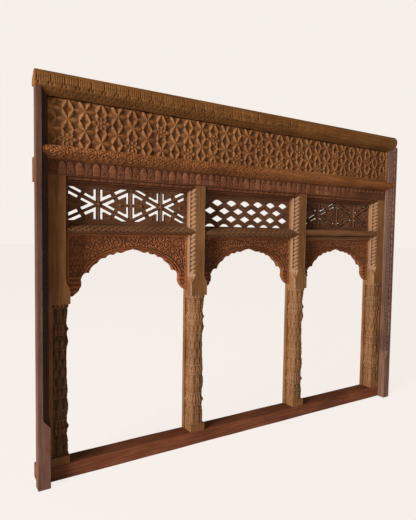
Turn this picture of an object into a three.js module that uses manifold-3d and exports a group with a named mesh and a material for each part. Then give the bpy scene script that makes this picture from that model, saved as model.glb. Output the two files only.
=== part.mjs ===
// A three-bay jharokha window in carved wood.
// X runs along the window, Y from its front (negative) to its back plane (zero), Z up.
// The group's origin is on the back of the head beam, where the window is fixed to its wall.
import * as THREE from 'three';
import { mergeVertices } from 'three/addons/utils/BufferGeometryUtils.js';
import Module from 'manifold-3d';

const wasm = await Module();
wasm.setup();
const { Manifold, Mesh: SolidMesh } = wasm;

// Clearance between pieces that touch, in millimetres like every size here
const gap = 0.3;

// Bays, left to right: how far the foot of the transom and the arch are let down, how far the arch
// is aside, the kind of the transom, and the slots of a star lattice where the bay has one
const bays = [
  { transomDrop: -8, archDrop: 0, archShift: 9, scaled: true, starSlot: 12 },
  { transomDrop: 0, archDrop: 0, archShift: 5, scaled: true, starSlot: null },
  { transomDrop: 6, archDrop: 4, archShift: 5, scaled: false, starSlot: 8.5 },
];
const bayCount = bays.length;

// Columns
const columnPitch = 541;
const columnWidth = 70;
const edgeToColumn = 74.5;
const innerShift = 5;
const innerDepth = 69;

// Heights, from the sill up
const sillHeight = 52;
const bayHeight = 776;
const transomHeight = 42;
const latticeHeight = 136;
const stepHeight = 22;
const friezeHeight = 51;
const ledgeHeight = 40;
const panelHeight = 159;
const crownHeight = 67;

// Outer posts, with one chamfer each that stops above the foot
const postWidth = 40;
const postDepth = 35;
const postChamferWidth = 24;
const postChamferDepth = 24;
const postChamferFoot = 235;
const crownSeat = 49;
const panelRebate = 4;
const chamferStop = 38;
const stopRings = 3;
const stopTip = 0.06;
const cutterSlack = 0.1;

// Columns, a chamfered post above and a baluster on a backing plank below
const columnChamferWidth = 14.5;
const columnChamferDepth = 31;
const blockFoot = 548;
const columnChamferFoot = 628;
const backingDepth = 16;
const balusterAxis = 33.5;
const balusterSides = 16;
const balusterSquareness = 3.4;
const leafSink = 0.08;
const plinthHeight = 28;
const plinthShare = 0.9;
const jambInset = 16;
const jambAside = 22;
const jambSet = 6;

// Each stage of the baluster, foot to top, as shares of its height and of half the column's
// width: where it ends, how wide it is there, how far it swells between, its steps, and its leaves
const balusterStages = [
  { end: 0.133, half: 0.9, swell: -0.01, steps: 1, leaf: 0.4 },
  { end: 0.188, half: 0.78, swell: 0, steps: 1, leaf: 0 },
  { end: 0.21, half: 0.8, swell: 0, steps: 1, leaf: 0 },
  { end: 0.241, half: 0.8, swell: 0.13, steps: 2, leaf: 0 },
  { end: 0.279, half: 0.78, swell: -0.03, steps: 1, leaf: 0 },
  { end: 0.42, half: 0.82, swell: 0.12, steps: 2, leaf: 1 },
  { end: 0.482, half: 0.84, swell: 0.05, steps: 2, leaf: 1 },
  { end: 0.72, half: 0.78, swell: -0.02, steps: 1, leaf: 1 },
  { end: 0.812, half: 0.79, swell: 0.14, steps: 2, leaf: 1 },
  { end: 0.825, half: 0.79, swell: 0, steps: 1, leaf: 0 },
  { end: 0.856, half: 0.79, swell: 0.13, steps: 2, leaf: 0 },
  { end: 0.87, half: 0.77, swell: 0, steps: 1, leaf: 0 },
  { end: 0.98, half: 0.92, swell: 0, steps: 1, leaf: 0 },
  { end: 1, half: 0.92, swell: 0, steps: 1, leaf: 0 },
];

// Head beam, the steps under it from front to back, and the tongues of its frieze
const beamEndInset = 8;
const headRise = 7;
const headSteps = [
  { out: 60, up: 0.5 },
  { out: 46, up: 0.25 },
  { out: 34, up: 0 },
];
const tonguePitch = 58;
const tongueWidth = 21;
const tongueHeight = 42;
const tongueRelief = 4;
const tongueSegments = 2;
const friezeMargin = 5;

// Ledge moulding, with the pulls of its curves as shares of how far it stands out and how round it is
const ledgeProud = 22.7;
const ledgeRound = 20;
const ledgeToe = 4.5;
const ledgeFlat = 0.67;
const ledgeNose = 1;
const ledgeSwell = 0.125;
const ledgeTuck = 0.75;
const ledgeHollow = 22.5;

// Star panel and crown beam
const panelFront = 80;
const panelThickness = 22;
const coveDrop = 1;
const ovoloLip = 12;
const ovoloSwell = 5;
const ovoloShoulder = 17;
const ovoloTop = 1;
const crownProud = 10;
const crownOverhang = 3;
const crownEndCut = 22;
const crownBack = 58;
const crownTopDepth = 16;
const crownFillet = 6;
const crownFilletSet = 7;
const crownBevel = 27;
const fluteWidth = 17;
const fluteDepth = 6;
const flutePitch = 43.2;
const flutedLength = 1080;

// Star relief of the panel, whose star centres make a triangular net
const starSpacing = 65.4;
const starSink = 7;
const starRib = 7;
const starEnd = 65.5;
const starLow = 26;
const fasciaHeight = 8;
const reliefEdge = 4;
const rosetteEvery = 4;
const rosetteRadius = 14;

// Transoms, the rounded ones with the curves of their front as shares of their reach and height
const transomProud = 67;
const transomTopReach = 0.36;
const transomShoulder = { reach: 0.86, drop: 0.12 };
const transomNoseDrop = 0.54;
const transomChin = { reach: 0.96, rise: 0.18 };
const transomFootReach = 0.48;
const scalePitch = 33;
const scaleWidth = 14;
const scaleDepth = 5;

// The square transom, a flat face over a bead that is set back
const faceHeight = 25;
const faceEdge = 6;
const beadBack = 31;
const beadDrop = 6;
const beadHeight = 9;
const beadSwell = 10;

// Lattices, two with stars and one with diamond eyes
const latticeBack = 4;
const starLatticeThickness = 18;
const eyeLatticeThickness = 12;
const latticeRim = 6;
const starRimLow = 14;
const starBar = 10;
const bridgeWidth = 11;
const starShare = 0.26;
const eyeRimLow = 4;
const eyeShift = 22;
const eyePitch = 70.7;
const eyeRowPitch = 33;
const eyeTopRow = 34;
const eyeRows = 4;
const eyeWidth = 58;
const eyeHeight = 31;
const eyeDome = 13;

// Arches, cusped along a flattened curve
const archThickness = 22;
const archBack = 2;
const archHalf = 176;
const archRise = 106;
const archPower = 2.1;
const archSpring = 163;
const archPeak = 9;
const apexScallopHalf = 47;
const lastCuspHalf = 168;
const scallopsPerSide = 4;
const scallopDepth = 6;
const scallopSteps = 3;
const footReach = 42;
const footDrop = 209;
const footToeShare = 0.8;
const footCusps = [142, 168];
const ribOffset = 15;
const ribWidth = 6;
const ribRelief = 4;
const ribSteps = 9;
const ribStart = 0.08;
const leafCount = 3;
const leafLength = 46;
const leafWidth = 15;
const leafRelief = 4;
const leafInset = 68;

// Sizes that follow from these
const frameWidth = (bayCount * columnPitch) + (2 * edgeToColumn);
const frameDepth = innerDepth + gap + postDepth;
const transomBottom = sillHeight + bayHeight;
const transomTop = transomBottom + transomHeight;
const headBottom = transomTop + latticeHeight;
const friezeBottom = headBottom + stepHeight;
const ledgeBottom = friezeBottom + friezeHeight;
const ledgeTop = ledgeBottom + ledgeHeight;
const headTop = ledgeBottom + headRise;
const crownBottom = ledgeTop + panelHeight;
const frameHeight = crownBottom + crownHeight;
const postTop = frameHeight - crownSeat;
const panelTop = postTop + panelRebate;
const mountHeight = (headBottom + headTop) / 2;
const halfWidth = frameWidth / 2;
const postInside = halfWidth - postWidth;
const bayClear = columnPitch - columnWidth;
const bayPieceHalf = (bayClear / 2) - gap;

const columnX = (index) => innerShift + ((index - (bayCount / 2)) * columnPitch);
const bayX = (index) => (columnX(index) + columnX(index + 1)) / 2;

// Geometry helpers
function solid(geometry) {
  geometry.deleteAttribute('normal');
  geometry.deleteAttribute('uv');
  const merged = mergeVertices(geometry, 1e-3);
  return new Manifold(new SolidMesh({
    numProp: 3,
    vertProperties: new Float32Array(merged.attributes.position.array),
    triVerts: new Uint32Array(merged.index.array),
  }));
}

function geometryOf(body) {
  const mesh = body.getMesh();
  const geometry = new THREE.BufferGeometry();
  geometry.setAttribute('position', new THREE.BufferAttribute(new Float32Array(mesh.vertProperties), 3));
  geometry.setIndex(new THREE.BufferAttribute(new Uint32Array(mesh.triVerts), 1));
  geometry.computeVertexNormals();
  return geometry;
}

function shapeOf(points) {
  return new THREE.Shape(points.map(([a, b]) => new THREE.Vector2(a, b)));
}

function extrude(shape, depth, curveSegments = 4) {
  return new THREE.ExtrudeGeometry(shape, { depth, curveSegments, bevelEnabled: false });
}

// A section in Y and Z, drawn out along X
function alongX(shape, start, end) {
  const axes = new THREE.Matrix4().makeBasis(
    new THREE.Vector3(0, 1, 0),
    new THREE.Vector3(0, 0, 1),
    new THREE.Vector3(1, 0, 0),
  );
  return solid(extrude(shape, end - start).applyMatrix4(axes).translate(start, 0, 0));
}

// An elevation in X and Z, with its back at a given Y and its thickness towards the front
function alongY(shape, back, thickness, curveSegments) {
  return solid(extrude(shape, thickness, curveSegments).rotateX(Math.PI / 2).translate(0, back, 0));
}

// A plan in X and Y, raised along Z
function alongZ(points, bottom, top) {
  return solid(extrude(shapeOf(points), top - bottom).translate(0, 0, bottom));
}

function box(x0, x1, y0, y1, z0, z1) {
  const geometry = new THREE.BoxGeometry(x1 - x0, y1 - y0, z1 - z0);
  return solid(geometry.translate((x0 + x1) / 2, (y0 + y1) / 2, (z0 + z1) / 2));
}

// What a stopped chamfer takes off an edge: full size from its foot up, and running out below it
function chamferCutter(cornerX, cornerY, width, depth, foot, top) {
  const outline = [
    [-1 - cutterSlack, -cutterSlack],
    [cutterSlack, -cutterSlack],
    [cutterSlack, 1 + cutterSlack],
  ].map(([a, b]) => [a * width, b * depth]);
  const rings = stopRings + 1;
  const settings = { depth: rings, steps: rings, bevelEnabled: false };
  const geometry = new THREE.ExtrudeGeometry(shapeOf(outline), settings);
  const place = geometry.attributes.position;
  for (let index = 0; index < place.count; index += 1) {
    const ring = Math.round(place.getZ(index));
    const share = Math.min(ring / stopRings, 1);
    const size = stopTip + ((1 - stopTip) * THREE.MathUtils.smoothstep(share, 0, 1));
    const height = ring > stopRings ? top : foot - (chamferStop * (1 - share));
    place.setXYZ(index, place.getX(index) * size, place.getY(index) * size, height);
  }
  return solid(geometry.translate(cornerX, cornerY, 0));
}

// Outer posts
function outerPost(side) {
  const inner = side * postInside;
  const outer = side * halfWidth;
  const [low, high] = [Math.min(inner, outer), Math.max(inner, outer)];
  const body = box(low, high, -frameDepth, -innerDepth - gap, 0, postTop);
  return body.subtract(chamferCutter(
    inner,
    -frameDepth,
    -side * postChamferWidth,
    postChamferDepth,
    postChamferFoot,
    postTop + 1,
  ));
}

// Room that a post needs, with its clearance, in what is scribed to it
function postRoom(side) {
  const inner = postInside - gap;
  const outer = halfWidth + crownOverhang + gap;
  const front = -frameDepth - gap;
  const plan = [
    [inner, -innerDepth],
    [inner, front + postChamferDepth],
    [inner + postChamferWidth, front],
    [outer, front],
    [outer, -innerDepth],
  ].map(([x, y]) => [side * x, y]);
  return alongZ(plan, 0, postTop + gap);
}

// Sill
function sill() {
  const half = halfWidth - beamEndInset;
  return box(-half, half, -innerDepth, 0, 0, sillHeight);
}

// Columns
function balusterProfile(height) {
  const start = { end: plinthHeight / height, half: plinthShare, leaf: 0 };
  const profile = [{ share: start.end, half: 0, leaf: 0 }, { share: start.end, half: start.half, leaf: 0 }];
  let last = start;
  for (const stage of balusterStages) {
    for (let step = 1; step <= stage.steps; step += 1) {
      const t = step / stage.steps;
      const straight = THREE.MathUtils.lerp(last.half, stage.half, t);
      profile.push({
        share: THREE.MathUtils.lerp(last.end, stage.end, t),
        half: straight + (stage.swell * Math.sin(Math.PI * t)),
        leaf: t < 1 ? stage.leaf : 0,
      });
    }
    last = stage;
  }
  profile.push({ share: last.end, half: 0, leaf: 0 });
  return profile;
}

function baluster(height) {
  const profile = balusterProfile(height);
  const points = profile.map(({ share, half }) => new THREE.Vector2(half * columnWidth / 2, share * height));
  const geometry = new THREE.LatheGeometry(points, balusterSides);
  const place = geometry.attributes.position;
  for (let index = 0; index < place.count; index += 1) {
    const side = Math.floor(index / points.length);
    const { leaf } = profile[index % points.length];
    const angle = (side / balusterSides) * 2 * Math.PI;
    const [across, deep] = [Math.abs(Math.cos(angle)), Math.abs(Math.sin(angle))];
    const spread = (across ** balusterSquareness) + (deep ** balusterSquareness);
    const square = spread ** (-1 / balusterSquareness);
    const size = square * (side % 2 === 1 ? 1 - (leafSink * leaf) : 1);
    place.setXYZ(index, place.getX(index) * size, place.getY(index), place.getZ(index) * size);
  }
  return solid(geometry.rotateX(Math.PI / 2).translate(0, -balusterAxis, sillHeight + gap));
}

// The head beam's section, grown by a clearance and a slack where it is cut out of a column
function headSection(clearance = 0, slack = 0) {
  const front = -innerDepth - clearance - slack;
  const section = [
    [slack, headBottom - clearance],
    [slack, headTop],
    [front, headTop],
    [front, friezeBottom - clearance],
  ];
  let level = friezeBottom;
  for (const { out, up } of headSteps) {
    section.push([-out - clearance, level - clearance]);
    level = headBottom + (up * stepHeight);
    section.push([-out - clearance, level - clearance]);
  }
  return shapeOf(section);
}

// An end column is a jamb on its outer side, plain behind its post from the sill to the head
function isJamb(index, side) {
  return (index === 0 && side < 0) || (index === bayCount && side > 0);
}

// How far a column reaches from its axis to one side
function columnReach(index, side) {
  const jambReach = halfWidth - jambInset - (side * columnX(index));
  return isJamb(index, side) ? jambReach : columnWidth / 2;
}

function column(index) {
  const half = columnWidth / 2;
  const left = -columnReach(index, -1);
  const right = columnReach(index, 1);
  const foot = sillHeight + gap;
  const block = foot + blockFoot;
  const upper = box(left, right, -innerDepth, 0, block, friezeBottom - gap);
  const cutters = [-1, 1].filter((side) => !isJamb(index, side)).map((side) => chamferCutter(
    side * half,
    -innerDepth,
    side * columnChamferWidth,
    columnChamferDepth,
    sillHeight + columnChamferFoot,
    friezeBottom,
  ));
  const plinthHalf = half * plinthShare;
  const plinthFront = Math.max(-innerDepth, -balusterAxis - plinthHalf);
  const jambs = [-1, 1].filter((side) => isJamb(index, side)).map((side) => {
    const sides = [side * jambAside, side * columnReach(index, side)];
    return box(Math.min(...sides), Math.max(...sides), -innerDepth + jambSet, 0, foot, block);
  });
  const pieces = [
    Manifold.difference([upper, ...cutters, alongX(headSection(gap, 1), -columnWidth, columnWidth)]),
    box(left, right, -backingDepth, 0, foot, block),
    box(-plinthHalf, plinthHalf, plinthFront, 0, foot, foot + plinthHeight),
    baluster(blockFoot),
    ...jambs,
  ];
  return Manifold.union(pieces);
}

// Room that a column needs, with its clearance, in what is scribed to its chamfers
function columnRoom(x, foot) {
  const half = (columnWidth / 2) + gap;
  const front = -innerDepth - gap;
  const plan = [
    [x - half, 1],
    [x - half, front + columnChamferDepth],
    [x - half + columnChamferWidth, front],
    [x + half - columnChamferWidth, front],
    [x + half, front + columnChamferDepth],
    [x + half, 1],
  ];
  return alongZ(plan, foot - 1, transomTop + 1);
}

// Head beam, with round-topped tongues along its frieze
function headBeam() {
  const half = halfWidth - beamEndInset;
  const beam = alongX(headSection(), -half, half);
  const count = Math.floor((2 * postInside) / tonguePitch);
  const tongues = Array.from({ length: count }, (_, index) => {
    const x = (index - ((count - 1) / 2)) * tonguePitch;
    return tongue().translate(x, 0, 0);
  });
  return Manifold.union([beam, ...tongues]);
}

function tongue() {
  const radius = tongueWidth / 2;
  const foot = friezeBottom + friezeMargin;
  const top = Math.min(foot + tongueHeight, ledgeBottom - gap);
  const shape = new THREE.Shape();
  shape.moveTo(-radius, foot);
  shape.lineTo(radius, foot);
  shape.absarc(0, top - radius, radius, 0, Math.PI, false);
  return alongY(shape, -innerDepth + 1, tongueRelief + 1, tongueSegments);
}

// Ledge moulding under the star panel
function ledgeMoulding() {
  const back = -panelFront - gap;
  const seat = -innerDepth - gap;
  const front = -panelFront - ledgeProud;
  const rounding = ledgeTop - ledgeRound;
  const section = new THREE.Shape();
  section.moveTo(seat, ledgeBottom);
  section.lineTo(seat, headTop);
  section.lineTo(back, headTop);
  section.lineTo(back, ledgeTop);
  section.lineTo(back - (ledgeFlat * ledgeProud), ledgeTop);
  const swell = front - (ledgeSwell * ledgeProud);
  section.quadraticCurveTo(swell, (ledgeTop + rounding) / 2, front + ledgeNose, rounding);
  const tuck = rounding - (ledgeTuck * ledgeRound);
  section.quadraticCurveTo(seat - ledgeHollow, tuck, seat - ledgeToe, ledgeBottom);
  const reach = postInside + postChamferWidth;
  return Manifold.difference([alongX(section, -reach, reach), postRoom(-1), postRoom(1)]);
}

// Star panel, carved with pits that run from one centre of the net to the next
function hasRosette(columnIndex, halfRow) {
  const place = ((columnIndex % rosetteEvery) + rosetteEvery) % rosetteEvery;
  return (halfRow === 0 && place === 0) || (halfRow === 2 && place === rosetteEvery / 2);
}

function netPoint(columnIndex, halfRow) {
  const x = -postInside + starEnd + (columnIndex * starSpacing * Math.cos(Math.PI / 6));
  return new THREE.Vector2(x, ledgeTop + starLow + (halfRow * starSpacing / 2));
}

function starPit(middle, turn, shortenedLow, shortenedHigh) {
  const overlap = 1;
  const longHalf = (starSpacing / 2) - starRib;
  const shortHalf = longHalf * Math.tan(Math.PI / 6);
  const grown = (starSink + overlap) / starSink;
  const geometry = new THREE.ConeGeometry(1, starSink + overlap, 4, 1);
  const place = geometry.attributes.position;
  for (let index = 0; index < place.count; index += 1) {
    const along = place.getZ(index);
    const shortened = (along > 0 && shortenedHigh) || (along < 0 && shortenedLow);
    place.setZ(index, along * (shortened ? longHalf - rosetteRadius : longHalf));
  }
  geometry.scale(shortHalf * grown, 1, grown).rotateY(turn);
  return solid(geometry.translate(middle.x, -panelFront + ((starSink - overlap) / 2), middle.y));
}

function starPanel() {
  const half = postInside - gap;
  const plate = box(-half, half, -panelFront, -panelFront + panelThickness, headTop + gap, panelTop);
  const field = [-half + reliefEdge, half - reliefEdge, ledgeTop + fasciaHeight, crownBottom - reliefEdge];
  const [left, right, low, high] = field;
  const columns = Math.ceil((2 * postInside) / (starSpacing * Math.cos(Math.PI / 6)));
  const halfRows = Math.ceil((2 * panelHeight) / starSpacing);
  const ways = [[0, 2, 0], [1, 1, Math.PI / 3], [-1, 1, -Math.PI / 3]];
  const pits = [];
  for (let columnIndex = -2; columnIndex <= columns; columnIndex += 1) {
    for (let halfRow = -2 - Math.abs(columnIndex % 2); halfRow <= halfRows; halfRow += 2) {
      for (const [across, up, turn] of ways) {
        const from = netPoint(columnIndex, halfRow);
        const middle = from.clone().add(netPoint(columnIndex + across, halfRow + up)).divideScalar(2);
        const near = middle.x > left && middle.x < right && middle.y > low && middle.y < high;
        if (near) {
          const lowEnd = hasRosette(columnIndex, halfRow);
          const highEnd = hasRosette(columnIndex + across, halfRow + up);
          pits.push(starPit(middle, turn, lowEnd, highEnd));
        }
      }
    }
  }
  const window = box(left, right, -panelFront - 5, 0, low, high);
  return plate.subtract(Manifold.union(pits).intersect(window));
}

// The plan of a notch cut from a front edge back to a point
function notch(x, front, width, depth) {
  return [
    [x - (width / 2), front - 1],
    [x + (width / 2), front - 1],
    [x, front + depth],
  ];
}

// Crown beam, a cove and a reeded ovolo over the posts, sawn aslant at its right end
function crownBeam() {
  const back = -panelFront - gap;
  const under = panelTop + gap;
  const front = -frameDepth - crownProud;
  const filletFoot = frameHeight - crownFillet;
  const filletFront = front + (2 * crownFilletSet);
  const section = new THREE.Shape();
  section.moveTo(-crownBack, under);
  section.lineTo(back, under);
  section.lineTo(back, crownBottom);
  section.quadraticCurveTo(back - crownProud, crownBottom + coveDrop, -frameDepth, postTop);
  section.bezierCurveTo(
    front,
    postTop + ovoloLip,
    front - ovoloSwell,
    filletFoot - ovoloShoulder,
    front + crownFilletSet,
    filletFoot - ovoloTop,
  );
  section.lineTo(filletFront, filletFoot);
  section.lineTo(filletFront, frameHeight);
  section.lineTo(filletFront + crownTopDepth, frameHeight);
  section.lineTo(-crownBack, frameHeight - crownBevel);
  const reach = halfWidth + crownOverhang;
  const body = alongX(section, -reach, reach);
  const count = Math.floor(Math.min(flutedLength, 2 * reach) / flutePitch);
  const flutes = Array.from({ length: count }, (_, index) => {
    const x = ((index + 0.5) * flutePitch) - reach;
    return alongZ(notch(x, front, fluteWidth, fluteDepth), postTop + gap, filletFoot);
  });
  const nose = front - ovoloSwell;
  const sawn = alongZ([
    [reach - crownEndCut, nose],
    [reach + crownOverhang, nose],
    [reach + crownOverhang, -crownBack],
    [reach, -crownBack],
  ], 0, frameHeight + gap);
  return Manifold.difference([body, ...flutes, postRoom(-1), postRoom(1), sawn]);
}

// Transoms
function transomFoot(index) {
  return transomBottom - bays[index].transomDrop;
}

function roundedTransom(foot) {
  const front = -transomProud;
  const height = transomTop - foot;
  const nose = transomTop - (height * transomNoseDrop);
  const shoulder = transomTop - (height * transomShoulder.drop);
  const chin = foot + (height * transomChin.rise);
  const section = new THREE.Shape();
  section.moveTo(0, foot);
  section.lineTo(0, transomTop);
  section.lineTo(front * transomTopReach, transomTop);
  section.quadraticCurveTo(front * transomShoulder.reach, shoulder, front, nose);
  section.quadraticCurveTo(front * transomChin.reach, chin, front * transomFootReach, foot);
  return section;
}

function squareTransom(foot) {
  const front = -transomProud;
  const faceFoot = transomTop - faceHeight;
  const beadTop = faceFoot - beadDrop;
  const beadFront = front + beadBack;
  const section = new THREE.Shape();
  section.moveTo(0, foot);
  section.lineTo(0, transomTop);
  section.lineTo(front + faceEdge, transomTop);
  section.quadraticCurveTo(front, transomTop, front, transomTop - faceEdge);
  section.lineTo(front, faceFoot);
  section.lineTo(beadFront, faceFoot);
  section.lineTo(beadFront, beadTop);
  section.quadraticCurveTo(beadFront - beadSwell, beadTop - (beadHeight / 2), beadFront, beadTop - beadHeight);
  section.lineTo(beadFront, foot);
  return section;
}

// A transom, with a row of leaf scales where it is of the older carving
function transom(index) {
  const foot = transomFoot(index);
  const { scaled } = bays[index];
  const section = scaled ? roundedTransom(foot) : squareTransom(foot);
  const body = alongX(section, columnX(index), columnX(index + 1));
  const count = scaled ? Math.floor(bayClear / scalePitch) : 0;
  const scales = Array.from({ length: count }, (_, place) => {
    const x = bayX(index) + ((place - ((count - 1) / 2)) * scalePitch);
    return alongZ(notch(x, -transomProud, scaleWidth, scaleDepth), foot - 1, transomTop + 1);
  });
  const rooms = [columnRoom(columnX(index), foot), columnRoom(columnX(index + 1), foot)];
  return Manifold.difference([body, ...scales, ...rooms]);
}

// Lattices
function latticeWindow(rimLow) {
  const half = bayPieceHalf - latticeRim;
  return box(-half, half, -innerDepth, 0, transomTop + rimLow, headBottom - latticeRim);
}

function latticePlate(thickness) {
  const back = -latticeBack;
  return box(-bayPieceHalf, bayPieceHalf, back - thickness, back, transomTop + gap, headBottom - gap);
}

// A triangle moved in from its sides by a given distance, round its centre
function insetTriangle(corners, distance) {
  const centre = corners[0].clone().add(corners[1]).add(corners[2]).divideScalar(3);
  const [a, b, c] = corners;
  const area = Math.abs(b.clone().sub(a).cross(c.clone().sub(a))) / 2;
  const round = a.distanceTo(b) + b.distanceTo(c) + c.distanceTo(a);
  const size = 1 - (distance / (2 * area / round));
  return corners.map((corner) => corner.clone().sub(centre).multiplyScalar(size).add(centre));
}

function slotRing(corners, slot, thickness) {
  const turned = THREE.ShapeUtils.isClockWise(corners) ? corners.toReversed() : corners;
  const ring = new THREE.Shape(insetTriangle(turned, starBar / 2));
  ring.holes.push(new THREE.Path(insetTriangle(turned, (starBar / 2) + slot)));
  const centre = corners[0].clone().add(corners[1]).add(corners[2]).divideScalar(3);
  const bridges = corners.map((corner, index) => {
    const middle = corner.clone().add(corners[(index + 1) % 3]).divideScalar(2);
    const reach = middle.distanceTo(centre) + starBar;
    const angle = Math.atan2(middle.y - centre.y, middle.x - centre.x);
    const geometry = new THREE.BoxGeometry(reach, thickness + 4, bridgeWidth);
    geometry.translate(reach / 2, 0, 0).rotateY(-angle);
    return solid(geometry.translate(centre.x, -latticeBack - (thickness / 2), centre.y));
  });
  return Manifold.difference([alongY(ring, -latticeBack + 1, thickness + 2), ...bridges]);
}

function starLattice(slot) {
  const thickness = starLatticeThickness;
  const step = bayClear * starShare;
  const half = (latticeHeight - starRimLow - latticeRim) / 2;
  const middle = transomTop + starRimLow + half;
  const rings = [];
  for (const side of [-1, 1]) {
    const star = new THREE.Vector2(side * step, middle);
    for (const far of [0, 2 * side * step]) {
      const high = new THREE.Vector2(far, middle + half);
      const low = new THREE.Vector2(far, middle - half);
      const corners = [star, high, low];
      rings.push(slotRing(corners, slot, thickness));
      for (const end of [high, low]) {
        const mirrored = new THREE.Vector2(star.x, (2 * end.y) - middle);
        rings.push(slotRing([star, mirrored, end], slot, thickness));
      }
    }
  }
  const slots = Manifold.union(rings).intersect(latticeWindow(starRimLow));
  return latticePlate(thickness).subtract(slots);
}

// An eye of a lattice, a diamond whose head is pointed or domed
function eye(x, z, domed) {
  const half = eyeWidth / 2;
  const shape = new THREE.Shape();
  shape.moveTo(x - half, z);
  shape.lineTo(x, z - (eyeHeight / 2));
  shape.lineTo(x + half, z);
  if (domed) {
    shape.quadraticCurveTo(x, z + (2 * eyeDome), x - half, z);
  } else {
    shape.lineTo(x, z + (eyeHeight / 2));
  }
  return shape;
}

function eyeLattice() {
  const thickness = eyeLatticeThickness;
  const eyes = [];
  const across = Math.ceil(bayClear / eyePitch);
  for (let row = 0; row < eyeRows; row += 1) {
    const shift = row % 2 === 0 ? 0.5 : 0;
    const z = headBottom - eyeTopRow - (row * eyeRowPitch);
    for (let place = -across; place <= across; place += 1) {
      const x = eyeShift + ((place + shift) * eyePitch);
      if (Math.abs(x) + (eyeWidth / 2) < (bayClear / 2)) {
        const domed = row === 0 || row === eyeRows - 1;
        eyes.push(alongY(eye(x, z, domed), -latticeBack + 1, thickness + 2));
      }
    }
  }
  const slots = Manifold.union(eyes).intersect(latticeWindow(eyeRimLow));
  return latticePlate(thickness).subtract(slots);
}

// Arches
function archCurve(x, grow) {
  const share = Math.min(Math.abs(x) / (archHalf + grow), 1);
  return transomBottom - archSpring + ((archRise + grow) * ((1 - (share ** archPower)) ** (1 / archPower)));
}

function cuspAt(index) {
  const x = apexScallopHalf + ((lastCuspHalf - apexScallopHalf) * (index / scallopsPerSide));
  return new THREE.Vector2(x, archCurve(x, 0));
}

// A scallop from one cusp to the next, hollowed into the wood on the left of the way it runs
function scallop(from, to, depth) {
  const way = to.clone().sub(from);
  const out = new THREE.Vector2(-way.y, way.x).normalize();
  return Array.from({ length: scallopSteps }, (_, index) => {
    const t = (index + 1) / scallopSteps;
    return from.clone().lerp(to, t).add(out.clone().multiplyScalar(depth * Math.sin(Math.PI * t)));
  });
}

// Half of the opening's edge, from the apex down to the column on the right
function archEdge() {
  const apex = new THREE.Vector2(0, transomBottom - archSpring + archRise + archPeak);
  const points = [apex, ...scallop(apex, cuspAt(0), scallopDepth / 2)];
  for (let index = 0; index < scallopsPerSide; index += 1) {
    points.push(...scallop(cuspAt(index), cuspAt(index + 1), scallopDepth));
  }
  const footHalf = (bayClear / 2) - footReach;
  const [upper, lower] = footCusps.map((drop) => new THREE.Vector2(footHalf, transomBottom - drop));
  const toe = new THREE.Vector2(footHalf + (footReach * footToeShare), transomBottom - footDrop);
  points.push(...scallop(points.at(-1), upper, scallopDepth));
  points.push(...scallop(upper, lower, scallopDepth / 3));
  points.push(...scallop(lower, toe, -scallopDepth));
  return points;
}

function archRib() {
  const band = [];
  for (const [grow, direction] of [[ribOffset, 1], [ribOffset + ribWidth, -1]]) {
    for (let step = 0; step <= ribSteps; step += 1) {
      const angle = Math.PI * THREE.MathUtils.lerp(ribStart, 1 - ribStart, step / ribSteps);
      const x = direction * (archHalf + grow) * Math.cos(angle);
      band.push([x, archCurve(x, grow)]);
    }
  }
  const front = -archBack - archThickness;
  return alongY(shapeOf(band), front + 1, ribRelief + 1);
}

// A fan of leaves in a spandrel, opening towards its upper corner
function spandrelLeaves(side) {
  const front = -archBack - archThickness;
  const root = new THREE.Vector2(side * (bayPieceHalf - leafInset), transomBottom - leafInset);
  return Array.from({ length: leafCount }, (_, index) => {
    const angle = Math.PI * (index / (leafCount - 1)) * 0.5;
    const geometry = new THREE.ConeGeometry(1, leafRelief + 1, 4, 1);
    geometry.rotateX(Math.PI).scale(leafWidth / 2, 1, leafLength / 2);
    geometry.translate(0, 0, leafLength / 2).rotateY(side * angle);
    return solid(geometry.translate(root.x, front + 1 - ((leafRelief + 1) / 2), root.y));
  });
}

function arch(index) {
  const { archShift, archDrop } = bays[index];
  const edge = archEdge().map(({ x, y }) => new THREE.Vector2(x, y - archDrop));
  const side = bayPieceHalf;
  const top = transomFoot(index) - gap;
  const toe = edge.at(-1).y;
  const right = edge.map(({ x, y }) => [Math.min(x + archShift, side - 1), y]);
  const left = edge.slice(1).map(({ x, y }) => [Math.max(-x + archShift, 1 - side), y]).reverse();
  const outline = [
    [side, top],
    [-side, top],
    [-side, toe],
    ...left,
    ...right,
    [side, toe],
  ];
  const plate = alongY(shapeOf(outline), -archBack, archThickness);
  const bounds = box(-side, side, -innerDepth, 0, toe, top);
  const rib = archRib().translate(archShift, 0, -archDrop);
  const relief = Manifold.union([rib, ...spandrelLeaves(-1), ...spandrelLeaves(1)]).intersect(bounds);
  return plate.add(relief);
}

// Pieces, each with the colour of its own wood
const fixedFrame = new THREE.Group();
fixedFrame.position.z = -mountHeight;

function addPiece(name, body, colour, x = 0) {
  const material = new THREE.MeshStandardMaterial({ color: colour, roughness: 0.62, metalness: 0 });
  const piece = new THREE.Mesh(geometryOf(body), material);
  piece.name = name;
  piece.position.x = x;
  fixedFrame.add(piece);
}

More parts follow.
